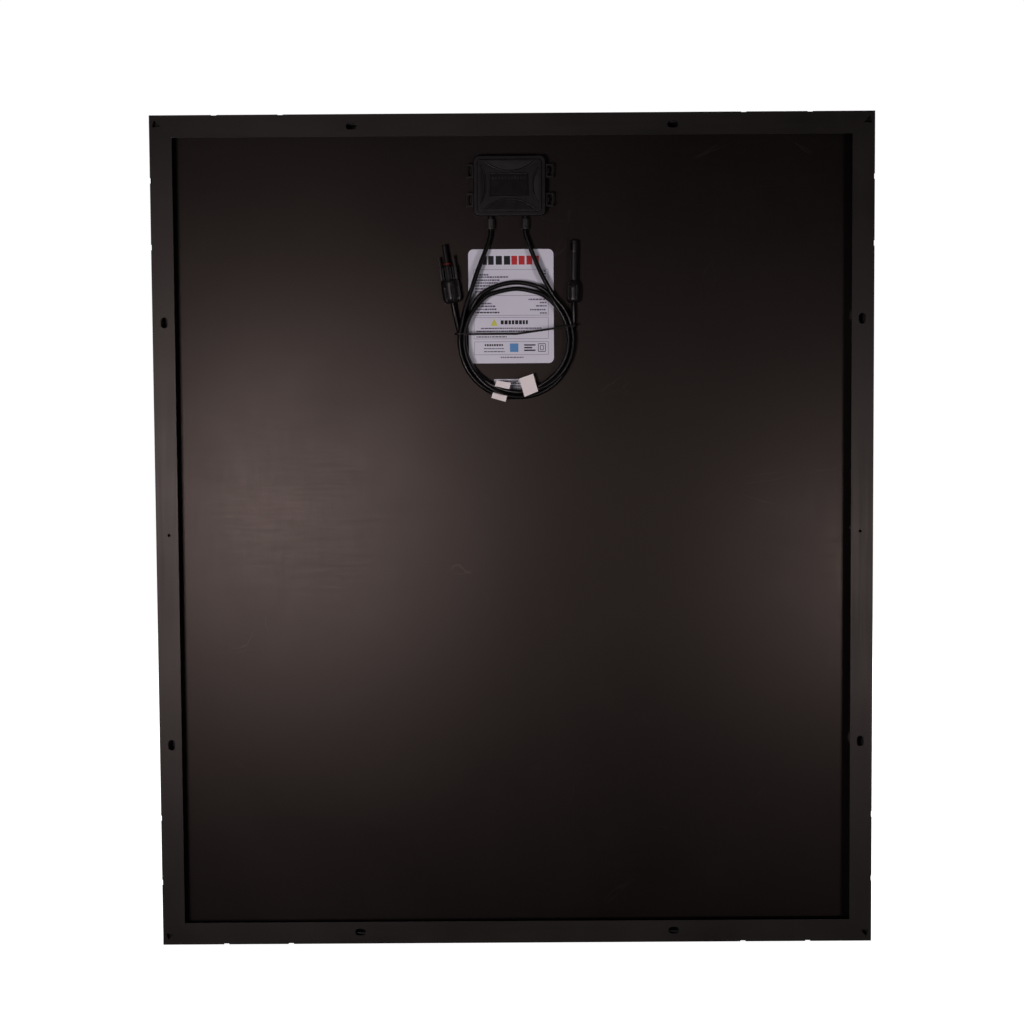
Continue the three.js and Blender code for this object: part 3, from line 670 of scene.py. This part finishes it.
for index in range(5):
    string = shingled_string(f"shingled_string_{index + 1}", (index - 2) * STRING_SPACING)
    dress(string, "panel", "solar_cell", silicon)
    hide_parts(f"cell_string_{index + 1}")

# ---- junction box

BOX_X, BOX_Z = -3.7, 998.2
LID_SIZE = (94.5, 78.5)
FIELD_DEPTH = 7.0
RIM_DEPTH = 8.6
SKIRT_DEPTH = 14.5
RECESS = (BOX_X - 0.6, BOX_Z + 0.8, 51, 29.5)
RECESS_FLOOR = FIELD_DEPTH + 0.9
LOOP_NEAR, LOOP_FAR, LOOP_OUTER = 49.6, 55.2, 57
LOOP_HEIGHT, LOOP_WINDOW = 18, 13
LOOP_OFFSETS = (19.4, -18)
ARCS = [
    [(-32, 31.3), (0.5, 18.6), (33, 31.3)],
    [(-32, -30.6), (0.5, -17.6), (33, -30.6)],
    [(-37.4, 26), (-31, 1.5), (-37.4, -23.5)],
    [(38, 22.5), (29.8, -0.5), (38, -23.5)],
]


def arc_through(a, m, b, steps=20):
    """Points on the circle through three points, from a to b."""
    (ax, ay), (mx, my), (bx, by) = a, m, b
    d = 2 * (ax * (my - by) + mx * (by - ay) + bx * (ay - my))
    sa, sm, sb = ax * ax + ay * ay, mx * mx + my * my, bx * bx + by * by
    cx = (sa * (my - by) + sm * (by - ay) + sb * (ay - my)) / d
    cy = (sa * (bx - mx) + sm * (ax - bx) + sb * (mx - ax)) / d
    radius = math.hypot(ax - cx, ay - cy)
    start, middle, end = (math.atan2(y - cy, x - cx) for x, y in (a, m, b))
    sweep = (end - start) % (2 * math.pi)
    if (middle - start) % (2 * math.pi) > sweep:
        sweep -= 2 * math.pi
    angles = [start + sweep * i / steps for i in range(steps + 1)]
    return [(cx + radius * math.cos(angle), cy + radius * math.sin(angle)) for angle in angles]


def swept(name, line, radius, depth, sides=12):
    """A bead of round section along a line of [x, z] points at one depth, with domed ends."""
    path = [point(x, depth, z) for x, z in line]
    path = [path[0] + (path[0] - path[1]).normalized() * radius * MM * 0.7, *path,
            path[-1] + (path[-1] - path[-2]).normalized() * radius * MM * 0.7]
    vertices, faces = [], []
    for i, place in enumerate(path):
        along = (path[min(i + 1, len(path) - 1)] - path[max(i - 1, 0)]).normalized()
        across = along.cross(Vector((0, 1, 0))).normalized()
        size = radius * MM * (0.35 if i in (0, len(path) - 1) else 1)
        for k in range(sides):
            angle = k / sides * 2 * math.pi
            vertices.append(place + (across * math.cos(angle) + Vector((0, 1, 0)) * math.sin(angle)) * size)
    for i in range(len(path) - 1):
        for k in range(sides):
            j = (k + 1) % sides
            faces.append((i * sides + k, i * sides + j, (i + 1) * sides + j, (i + 1) * sides + k))
    last = (len(path) - 1) * sides
    faces += [tuple(range(sides)), tuple(range(last + sides - 1, last - 1, -1))]
    return from_lists(name, vertices, faces)


def bevelled(obj, width, segments=3, angle=40):
    modifier = obj.modifiers.new("round", "BEVEL")
    modifier.width, modifier.segments = width * MM, segments
    modifier.limit_method, modifier.angle_limit = "ANGLE", math.radians(angle)
    return apply_modifiers(obj)


def from_box(points):
    return [(BOX_X + x, BOX_Z + z) for x, z in points]


def scoop(arc):
    """Cuts one bowed pocket, deepest along its bow and shallow at the lid's edge."""
    (ax, az), (mx, mz), (bx, bz) = arc
    across = Vector((bz - az, ax - bx)).normalized()
    bow = (mx - ax) * across.x + (mz - az) * across.y

    def place(x, depth, z):
        share = ((x - BOX_X - ax) * across.x + (z - BOX_Z - az) * across.y) / bow
        return point(x, depth if depth < 5 else FIELD_DEPTH + 0.5 + 0.65 * share, z)

    return prism("pocket", from_box(arc_through(*arc)), 3, 6, place)


def lid_piece():
    """The lid: a raised field with four bowed pockets round a sunk plate, a skirt, and four snap loops."""
    rim = bevelled(prism("lid_rim", rounded(BOX_X, BOX_Z, *LID_SIZE, 8), RIM_DEPTH, SKIRT_DEPTH), 1.5, 4)
    field = bevelled(prism("lid_field", rounded(BOX_X, BOX_Z, 84.5, 68.5, 5), FIELD_DEPTH, 11), 1.2)
    beads = [swept("bead", from_box(arc_through(*arc)), 1.35, FIELD_DEPTH + 0.75) for arc in ARCS]
    corners = box_outline(*RECESS)
    for a, b in zip(corners, corners[1:] + corners[:1]):
        beads.append(swept("bead", [a, b], 1.0, FIELD_DEPTH + 0.5))
    tools = [scoop(arc) for arc in ARCS]
    tools.append(prism("recess", rounded(*RECESS, 1.2, 4), 3, RECESS_FLOOR))
    hollow = prism("hollow", rounded(BOX_X, BOX_Z, LID_SIZE[0] - 3.6, LID_SIZE[1] - 3.6, 6.2), 9.8, 20)
    lid = join(rim, field)
    lid = cut(lid, *tools)
    lid = join(lid, *beads)
    lid = cut(lid, hollow)
    inner = LID_SIZE[0] / 2 - 0.9
    for side in (-1, 1):
        loop_x = BOX_X + side * (inner + LOOP_OUTER) / 2
        window_x = BOX_X + side * (LOOP_NEAR + LOOP_FAR) / 2
        for z in (BOX_Z + offset for offset in LOOP_OFFSETS):
            outline = rounded(loop_x, z, LOOP_OUTER - inner, LOOP_HEIGHT, 1.0, 4)
            opening = rounded(window_x, z, LOOP_FAR - LOOP_NEAR, LOOP_WINDOW, 0.6, 3)
            loop = cut(prism("loop", outline, 12, SKIRT_DEPTH), prism("window", opening, 8, 18))
            lid = join(lid, bevelled(loop, 0.45, 2))
    lid.name = "box_lid"
    return lid


def polish_recess(lid):
    """The sunk plate is a mirror-polished insert in the mould."""
    x, z, width, height = RECESS
    for face in lid.data.polygons:
        place = face.center / MM
        inside = abs(place.x - x) < width / 2 and abs(place.z - z) < height / 2
        if inside and abs(place.y + HALF_DEPTH - RECESS_FLOOR) < 0.05:
            face.material_index = 1


lid = clean(lid_piece(), 0.2)
dress(lid, "lid", "box_plastic", box_plastic, polished_plastic)
polish_recess(lid)
soften(lid, 0.18, 2, 35)
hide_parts("junction_box_lid")


def marks(name, boxes, rear, front):
    """Low flat marks as one piece: each is [x, z, width, height] in the panel's own millimetres."""
    vertices, faces = [], []
    for x, z, width, height in boxes:
        first = len(vertices)
        outline = box_outline(x, z, width, height)
        vertices += [point(a, rear, b) for a, b in outline] + [point(a, front, b) for a, b in outline]
        faces += [tuple(first + k for k in face) for face in
                  ((0, 1, 2, 3), (7, 6, 5, 4), (0, 4, 5, 1), (1, 5, 6, 2), (2, 6, 7, 3), (3, 7, 4, 0))]
    return from_lists(name, vertices, faces)


# A row of raised bars stands where a moulded name would be, and a shorter one at the plate's foot.
bars = [(BOX_X - 21.5 + i * 4.1, BOX_Z + 9.6, 2.5 if i % 3 else 3.1, 3.6) for i in range(11)]
bars += [(BOX_X - 22 + i * 2.2, BOX_Z - 10.2, 1.3, 1.5) for i in range(6)]
lid_bars = marks("lid_bars", bars, RECESS_FLOOR - 0.28, RECESS_FLOOR + 0.05)
dress(lid_bars, "lid", "box_plastic", box_plastic)
soften(lid_bars, 0.08, 1, 40)

base = copied("junction_box_base", "box_base")
dress(base, "panel", "box_plastic", box_plastic)
soften(base, 0.35, 2, 32)
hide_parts("junction_box_base")


def hexagonal(angle, radius, height):
    """A hexagon with well rounded corners, one flat towards the rear, that turns round at its lower end."""
    if radius < 4.45:
        return radius
    off_flat = angle % (math.pi / 3) - math.pi / 6
    return min(radius, (5.0 + 0.25 * smoothstep((946 - height) / 1.5)) / math.cos(off_flat))


GLAND_PROFILE = [
    (3.4, 942.5), (4.1, 942.5), (4.6, 942.65), (4.95, 943), (5.2, 943.5), (5.35, 944.2), (5.42, 945.2),
    (5.5, 946.6), (5.6, 947.6), (5.6, 955), (5.2, 956), (4.35, 956), (4.35, 946.6), (3.4, 946.6),
]
for side, x in GLAND_X.items():
    nut = turned(f"gland_dome_{side}", GLAND_PROFILE, local((x, GLAND_DEPTH, 0)), 72, hexagonal)
    dress(nut, f"gland_nut_{side}", "box_plastic", nut_plastic)
    soften(nut, 0.15, 2, 28)
    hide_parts(f"gland_nut_{side}")

# ---- connectors

PROBE = local((-78.8, 15.7, 846.6), -8.16)
BARREL = local((79.4, 18.4, 846.4), 0.9)
WINDOW_TURN = 38


def fluted(outer_from, depth, low, high, count, groove_share, turn):
    """Grooves between broad ribs round a nut, fading out at both ends.
    One rib stands so many degrees left of the rear."""
    def shape(angle, radius, height):
        if radius < outer_from:
            return radius
        phase = ((angle + math.pi / 2 + math.radians(turn)) * count / (2 * math.pi)) % 1
        near = abs(phase - 0.5) / (groove_share / 2)
        groove = smoothstep((1.2 - near) / 0.4)
        fade = smoothstep((height - low) / 1.6) * smoothstep((high - height) / 1.6)
        return radius - depth * groove * fade
    return shape


def stepped(profile, step=1.2):
    """The profile with long straight runs broken into short ones, so that grooves can fade along them."""
    out = []
    for (r0, z0), (r1, z1) in zip(profile, profile[1:]):
        count = max(1, round(math.hypot(r1 - r0, z1 - z0) / step)) if min(r0, r1) > 7 else 1
        out += [(r0 + (r1 - r0) * i / count, z0 + (z1 - z0) * i / count) for i in range(count)]
    return out + [profile[-1]]


probe_nut = turned("probe_nut_ribbed", stepped([
    (3.4, 0), (7.2, 0), (8.6, 0.5), (10.9, 3), (11.7, 5), (12, 7.5), (12, 26.5), (11.6, 28.6), (10.8, 30),
    (7.4, 30), (7.4, 3), (3.4, 3),
]), PROBE, 120, fluted(7.9, 2.1, 2.2, 21.5, 8, 0.26, 13.5))
dress(probe_nut, "probe_nut", "connector_plastic", connector_plastic)
soften(probe_nut, 0.2, 2, 40)
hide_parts("probe_connector_nut")

barrel_nut = turned("barrel_nut_ribbed", stepped([
    (3.4, 0), (6, 0), (6.9, 0.4), (9, 2.3), (9.3, 4), (9.4, 6), (9.4, 20), (9, 22.4), (8, 25.6), (6.9, 28),
    (5.8, 29.2), (5.6, 29.2), (5.6, 3), (3.4, 3),
]), BARREL, 120, fluted(7.2, 1.7, 2, 22.5, 6, 0.2, 8.5))
dress(barrel_nut, "barrel_nut", "connector_plastic", connector_plastic)
soften(barrel_nut, 0.2, 2, 40)
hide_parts("barrel_connector_nut")


def probe_body():
    """A grooved grip between two spring prongs, and a slim nose."""
    core = turned("probe_core", [
        (0, 8), (6.9, 8), (6.9, 31), (5.6, 32), (5.6, 46.4), (5.2, 47), (3.9, 47.3), (3.3, 54), (3.1, 75.8),
        (2.5, 76.8), (0, 76.8),
    ], PROBE, 48)
    yoke = block("yoke", PROBE, (0, 0, 32), (20.5, 5, 3), 0.5)
    ribs = [block("rib", PROBE, (x, 0, 38.6), (1.3, 13.6, 16.4), 0.3) for x in (-6.6, -3.4, 0, 3.4, 6.6)]
    prongs = []
    for side in (-1, 1):
        prongs.append(block("arm", PROBE, (side * 9.7, 0, 38.9), (3.4, 12.6, 17.2), 0.7))
        prongs.append(block("rail", PROBE, (side * 10.3, 0, 39.5), (2.6, 13.4, 3), 0.5))
        prongs.append(block("prong", PROBE, (side * 9.3, 0, 53.4), (1.9, 6, 14.8), 0.5))
        prongs.append(block("barb", PROBE, (side * 9.9, 0, 57.2), (1.9, 5.2, 4.4), 0.6))
    body = join(core, yoke, *ribs, *prongs)
    bore = turned("bore", [(0, 45), (2.1, 45), (2.1, 80), (0, 80)], PROBE, 24)
    throat = turned("throat", [(0, 6), (3.3, 6), (3.3, 40), (0, 40)], PROBE, 24)
    body = cut(body, bore, throat)
    body.name = "probe_body"
    return body


def barrel_body():
    """A plain sleeve with a rolled mouth and two windows for the other connector's prongs."""
    sleeve = turned("sleeve", [
        (0, 8), (5.1, 8), (5.2, 8.4), (5.2, 30), (5.7, 31), (5.7, 64.6), (5.4, 65.2), (5.4, 66.6),
        (5.7, 67.2), (5.7, 80.4), (5.3, 81.2), (0, 81.2),
    ], BARREL, 64)
    mouth = turned("mouth", [(0, 46), (3.9, 46), (3.9, 80.4), (4.3, 81.2), (4.3, 90), (0, 90)], BARREL, 48)
    throat = turned("throat", [(0, 6), (3.2, 6), (3.2, 40), (0, 40)], BARREL, 24)
    turned_barrel = BARREL @ Matrix.Rotation(math.radians(WINDOW_TURN), 4, "Z")
    windows = [block("window", turned_barrel, (side * 4.9, 0, 73), (3, 5.6, 8)) for side in (-1, 1)]
    body = cut(sleeve, mouth, throat, *windows)
    body.name = "barrel_body"
    return body


probe = clean(probe_body(), 0.2)
dress(probe, "panel", "connector_plastic", connector_plastic)
soften(probe, 0.15, 2, 35)
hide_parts("probe_connector_body")

barrel = clean(barrel_body(), 0.2)
dress(barrel, "panel", "connector_plastic", connector_plastic)
soften(barrel, 0.12, 2, 35)
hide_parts("barrel_connector_body")

ring_angles = [math.pi * (1 + i / 8) for i in range(17)]
ring_section = [(4.3 + 0.65 * math.cos(angle), 51.4 + 0.75 * math.sin(angle)) for angle in ring_angles]
seal_ring = turned("seal_ring", ring_section, PROBE, 48)
dress(smooth(seal_ring), "panel", "seal_ring", red_rubber)
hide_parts("probe_connector_ring")

# ---- tie

TIE_LEFT, TIE_RIGHT, TIE_FRONT, TIE_REAR = -77.1, 85.0, 10.1, 27.8
TIE_HEIGHT, TIE_THICKNESS, TIE_Z, TIE_KINK, TIE_RISE = 2.0, 1.1, 806.3, 4.7, 0.138
TIE_CORNER = 5
TIE_STEPS = 60


def tie_band():
    """A thin band round the whole coil, level up to its kink and rising to the right of it."""
    left, right = TIE_LEFT + TIE_CORNER, TIE_RIGHT - TIE_CORNER
    step = (right - left) / TIE_STEPS
    near, far = TIE_FRONT + TIE_CORNER, TIE_REAR - TIE_CORNER
    line = [(left + step * i, TIE_FRONT, 0, -1) for i in range(TIE_STEPS + 1)]
    for x, depth, first in ((right, near, -90), (right, far, 0), (left, far, 90), (left, near, 180)):
        for i in range(1, 9):
            angle = math.radians(first + i * 11.25)
            out_x, out_depth = math.cos(angle), math.sin(angle)
            line.append((x + TIE_CORNER * out_x, depth + TIE_CORNER * out_depth, out_x, out_depth))
        if first == 0:
            line += [(right - step * i, TIE_REAR, 0, 1) for i in range(1, TIE_STEPS + 1)]
    line.pop()
    vertices, faces = [], []
    for x, depth, out_x, out_depth in line:
        z = TIE_Z + max(0.0, x - TIE_KINK) * TIE_RISE
        for inset, side in ((0, -1), (0, 1), (TIE_THICKNESS, 1), (TIE_THICKNESS, -1)):
            vertices.append(point(x - out_x * inset, depth - out_depth * inset, z + side * TIE_HEIGHT / 2))
    count = len(line)
    for i in range(count):
        a, b = i * 4, (i + 1) % count * 4
        faces += [(a + k, b + k, b + (k + 1) % 4, a + (k + 1) % 4) for k in range(4)]
    return from_lists("coil_tie", vertices, faces)


tie = tie_band()
dress(tie, "panel", "tie_plastic", tie_plastic)
soften(tie, 0.25, 2, 40)
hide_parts("cable_tie")

# ---- flags

FLAG_THICKNESS = 0.25


def flag(name, corners, profile, steps=28):
    """A stuck paper tab. The corners run upper left, upper right, lower right, lower left; the profile gives
    the depth of its middle from its upper edge down, as (share, depth) pairs."""
    def depth_at(share):
        for (s0, d0), (s1, d1) in zip(profile, profile[1:]):
            if share <= s1:
                return d0 + (d1 - d0) * smoothstep((share - s0) / (s1 - s0))
        return profile[-1][1]

    (ulx, ulz), (urx, urz), (lrx, lrz), (llx, llz) = corners
    vertices, faces, across = [], [], 6
    for layer in (0, FLAG_THICKNESS):
        for i in range(steps + 1):
            t = i / steps
            for j in range(across + 1):
                u = j / across
                x = (ulx + (urx - ulx) * u) * (1 - t) + (llx + (lrx - llx) * u) * t
                z = (ulz + (urz - ulz) * u) * (1 - t) + (llz + (lrz - llz) * u) * t
                curl = 0.5 * (u - 0.5) ** 2 * (1 - t) * 4
                vertices.append(point(x, depth_at(t) + layer - curl, z))
    row, sheet = across + 1, (steps + 1) * (across + 1)
    for i in range(steps):
        for j in range(across):
            a, b, c, d = (i * row + j, i * row + j + 1, (i + 1) * row + j + 1, (i + 1) * row + j)
            faces += [(a, b, c, d), (d + sheet, c + sheet, b + sheet, a + sheet)]
    edge = [*range(row), *(i * row + across for i in range(1, steps + 1))]
    edge += [steps * row + j for j in range(across - 1, -1, -1)]
    edge += [i * row for i in range(steps - 1, 0, -1)]
    faces += [(a, b, b + sheet, a + sheet) for a, b in zip(edge, edge[1:] + edge[:1])]
    return smooth(from_lists(name, vertices, faces))


left_flag = flag("flag_left", [(-22.4, 745.4), (-3.4, 742), (-10.8, 717.1), (-29.2, 722.5)],
                 [(0, 14.5), (0.3, 14.8), (0.45, 20), (0.55, 19.5), (0.72, 11.4), (1, 11.2)])
right_flag = flag("flag_right", [(7.2, 747.2), (25.7, 753.7), (32.1, 730.6), (14.3, 723.5)],
                  [(0, 10.6), (0.4, 11.1), (1, 11.0)])
for piece, side in ((left_flag, "left"), (right_flag, "right")):
    dress(piece, "panel", "flag_paper", flag_paper)
    soften(piece, 0.05, 1, 60)
    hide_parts(f"cable_flag_{side}")

# ---- printing on the labels

LABEL_FACE = 27.98
INK = 0.03
INK_GAP = 0.001
rng = random.Random(7)


def printed(name, boxes, finish):
    """Flat ink on a label."""
    return dress(marks(name, boxes, LABEL_FACE - INK, LABEL_FACE - INK_GAP), "panel", "label_film", finish)


def on_label(*boxes):
    return [(LABEL_X + x, LABEL_Z + z, width, height) for x, z, width, height in boxes]


def words(left, z, length, height, gap=0.7, share=(1.4, 4.2)):
    """A row of short bars that reads as small print without being any."""
    out, x = [], left
    while x < left + length - 1.2:
        width = min(rng.uniform(*share), left + length - x)
        out.append((x + width / 2, z, width, height))
        x += width + gap
    return out


def outlined(x0, z0, x1, z1, line=0.55):
    """The four lines of a printed box."""
    middle_x, middle_z, width, height = (x0 + x1) / 2, (z0 + z1) / 2, x1 - x0, z1 - z0
    return [(middle_x, z0, width, line), (middle_x, z1, width, line),
            (x0, middle_z, line, height - line), (x1, middle_z, line, height - line)]


LABEL_X, LABEL_Z = -2.6, 842.9
dark_ink = ink("ink_dark", (0.006, 0.004, 0.009))
small_ink = ink("ink_small", (0.08, 0.065, 0.11))
line_ink = ink("ink_line", (0.24, 0.21, 0.29))
red_ink = ink("ink_red", (0.5, 0.02, 0.03))
blue_ink = ink("ink_blue", (0.1, 0.27, 0.55))
yellow_ink = ink("ink_yellow", (0.62, 0.6, 0.1))



def heading(name, blocks, finish):
    """A row of tall blocks across the label's head."""
    printed(name, on_label(*[(x, 60.3, width, 11.6) for x, width in blocks]), finish)


heading("print_heading", ((-34.2, 5.4), (-26.2, 7.4), (-15.8, 8.2), (-5, 8.2)), dark_ink)
heading("print_heading_red", ((4.6, 7.6), (14.2, 8), (24.4, 7.6), (33.6, 6.6)), red_ink)
left_rows = (
    (41.5, 18), (38.4, 44), (34.4, 33), (30.7, 30), (27, 26), (23.2, 24), (19.4, 24), (8.9, 12), (3.8, 22),
    (0.2, 27), (-3.8, 28),
)
right_rows = ((8.9, 24), (4.7, 9), (0.4, 14), (-4.6, 22), (-9, 9), (46, 8), (42.4, 8), (38.6, 7))
rows = []
for z, length in left_rows:
    rows += words(-47.5, z, length, 2)
for z, length in right_rows:
    rows += words(47 - length, z, length, 1.8)
rows += words(-40, -28.8, 80, 1.5, 0.6, (1.6, 5)) + words(-46, -32.6, 86, 1.5, 0.6, (1.6, 5))
rows += words(-46, -40, 40, 1.5)
rows += words(-36, -55.4, 26, 1.3) + words(-36, -59.4, 27, 1.3) + words(-14, -67, 30, 1.4)
printed("print_rows", on_label(*rows), small_ink)
printed("print_titles", on_label(
    *words(-47.5, -8, 32, 1.9), *words(-13.8, -21, 38, 5.2, 1.1, (2.6, 4.2)),
    *words(-35, -50.8, 25, 2.6, 0.9, (1.6, 2.6)),
    (24.4, -50.9, 15, 1.8), (22.2, -54.4, 10.6, 1.8), (24.4, -57.9, 15, 1.8),
    *outlined(35.6, -59.6, 45, -49.2, 0.8), *outlined(38.4, -57.4, 42.2, -51.4, 0.8),
), dark_ink)
printed("print_blue", on_label((3.7, -54.4, 11.2, 11.2)), blue_ink)
printed("print_lines", on_label(
    *outlined(-49, -11.8, 49, 48.3), (0, 14.2, 96, 0.55),
    *outlined(-49, -42.6, 49, -14.6), *outlined(-48.6, -63.4, 49, -46.4),
), line_ink)
triangle_corners = [(LABEL_X + x, LABEL_Z + z) for x, z in ((-27.2, -25.4), (-17.6, -25.4), (-22.4, -16.4))]
triangle = prism("print_yellow", triangle_corners, LABEL_FACE - INK, LABEL_FACE - INK_GAP)
dress(triangle, "panel", "label_film", yellow_ink)
SERIAL_LEFT = -23.4
serial = words(SERIAL_LEFT, 744.6, 30, 2, 0.4, (1.2, 2.6))
serial += words(SERIAL_LEFT, 741.8, 36, 1.7, 0.4, (1.5, 3.5))
for i in range(29):
    x = SERIAL_LEFT + 0.5 + i * 1.25 + rng.uniform(0, 0.2)
    serial.append((x, 736.2, rng.choice((0.7, 0.9, 1.05)), 7))
printed("print_serial", serial, dark_ink)

# ---- pieces that keep their CAD shape

SIDES = ("bottom", "top", "left", "right")
CORNERS = ("bottom_left", "bottom_right", "top_left", "top_right")
TERMINALS = ("left", "middle", "right")
kept = (
    (key_metal, [f"corner_key_{corner}" for corner in CORNERS]),
    (sealant, ["box_adhesive", *(f"edge_tape_{side}" for side in SIDES)]),
    (sheet_film, ["backsheet"]),
    (clear_film, ["rear_encapsulant", "front_encapsulant"]),
    (clear_glass, ["front_glass"]),
    (contacts, ["bus_ribbon_bottom", "bus_ribbon_top", "probe_connector_socket", "barrel_connector_pin"]),
    (contacts, [f"{kind}_{place}" for kind in ("terminal", "lead_ribbon") for place in TERMINALS]),
    (diode_body, ["bypass_diode_left", "bypass_diode_right"]),
    (gasket, ["lid_gasket", "gland_seal_left", "gland_seal_right"]),
    (gasket, ["probe_connector_seal", "barrel_connector_seal"]),
    (cable_skin, ["cable_end_left", "cable_end_right"]),
    (label_film, ["rating_label", "serial_label"]),
)
for material, names in kept:
    for name in names:
        nodes[name].data.materials.clear()
        nodes[name].data.materials.append(material)

# ---- studio


def area_light(name, place, target, size, power, colour=(1, 1, 1)):
    data = bpy.data.lights.new(name, "AREA")
    data.shape, data.size, data.size_y = "RECTANGLE", size[0], size[1]
    data.energy, data.color = power, colour
    obj = link(name, data)
    obj.location = place
    obj.rotation_euler = (Vector(target) - Vector(place)).to_track_quat("-Z", "Y").to_euler()
    return obj


SHEEN_COLOUR = (1, 0.97, 0.98)
WALL_COLOUR = (1, 0.98, 0.97)

# Two lamps beside the camera at the panel's mid height light what is matt, and two small ones give the sheen.
key_left = area_light("key_left", (-1.13, -2.25, 0.47), (-0.2, 0, 0.55), (0.5, 0.5), 23.5, (1, 0.93, 0.95))
key_right = area_light("key_right", (1.31, -2.25, 0.47), (0.2, 0, 0.55), (0.5, 0.5), 14, (1, 0.95, 0.97))
key_left.visible_glossy = key_right.visible_glossy = False
sheen_left = area_light("sheen_left", (-0.6, -2.25, 0.45), (-0.2, 0, 0.5), (0.35, 0.35), 13.6, SHEEN_COLOUR)
sheen_right = area_light("sheen_right", (0.95, -2.25, 0.305), (0.2, 0, 0.5), (0.3, 0.12), 5.35, SHEEN_COLOUR)
sheen_left.visible_diffuse = sheen_right.visible_diffuse = False
# The rest stand behind the panel's rear plane, and show the frame's outer walls and the glass side.
area_light("lamp_glass_side", (1.1, 2.6, 2.0), (0, 0, 0.5), (1.6, 1.2), 60, (1, 0.98, 0.96))
area_light("lamp_wall_right", (2.9, 1.2, 0.4), (0.47, 0, 0.55), (1.0, 1.4), 40, WALL_COLOUR)
area_light("lamp_wall_left", (-2.9, 1.2, 0.5), (-0.47, 0, 0.55), (1.0, 1.4), 40, WALL_COLOUR)
area_light("lamp_top", (-1.3, 2.0, 2.7), (0, 0, 1.09), (1.2, 0.8), 14, WALL_COLOUR)


def backdrop():
    """A pale floor that sweeps up into a wall all round, seen by the camera only."""
    profile = [(0, 0), (4, 0), (6, 0), (6.8, 0.25), (7.4, 1), (7.6, 2), (7.6, 5)]
    obj = smooth(turned("backdrop", profile, Matrix.Identity(4), 96))
    f = Finish("paper_sweep", Roughness=0.9)
    cloud = f.noise(0.6, 3)
    away = f.node("ShaderNodeVectorMath", {0: f.place}, operation="LENGTH").outputs["Value"]
    f.surface.inputs["Emission Color"].default_value = (1, 1, 1, 1)
    obj.data.materials.append(f.done(
        Base_Color=f.blend(cloud, (0.78, 0.78, 0.78), (0.8, 0.8, 0.8)),
        Emission_Strength=f.span(away, 0.4, 2.2, 0.94, 1.0),
    ))
    obj.visible_glossy = obj.visible_diffuse = obj.visible_transmission = False


backdrop()

world = bpy.data.worlds.new("studio")
world.use_nodes = True
shade = world.node_tree
background = shade.nodes["Background"]
background.inputs["Strength"].default_value = 1.0
path = shade.nodes.new("ShaderNodeLightPath")
mix = shade.nodes.new("ShaderNodeMix")
mix.data_type = "RGBA"
shade.links.new(path.outputs["Is Camera Ray"], mix.inputs[0])
mix.inputs[6].default_value = (0.012, 0.0118, 0.012, 1)
mix.inputs[7].default_value = (1, 1, 1, 1)
shade.links.new(mix.outputs[2], background.inputs["Color"])
bpy.context.scene.world = world

bpy.context.scene.view_settings.view_transform = "Standard"
bpy.context.scene.view_settings.look = "None"
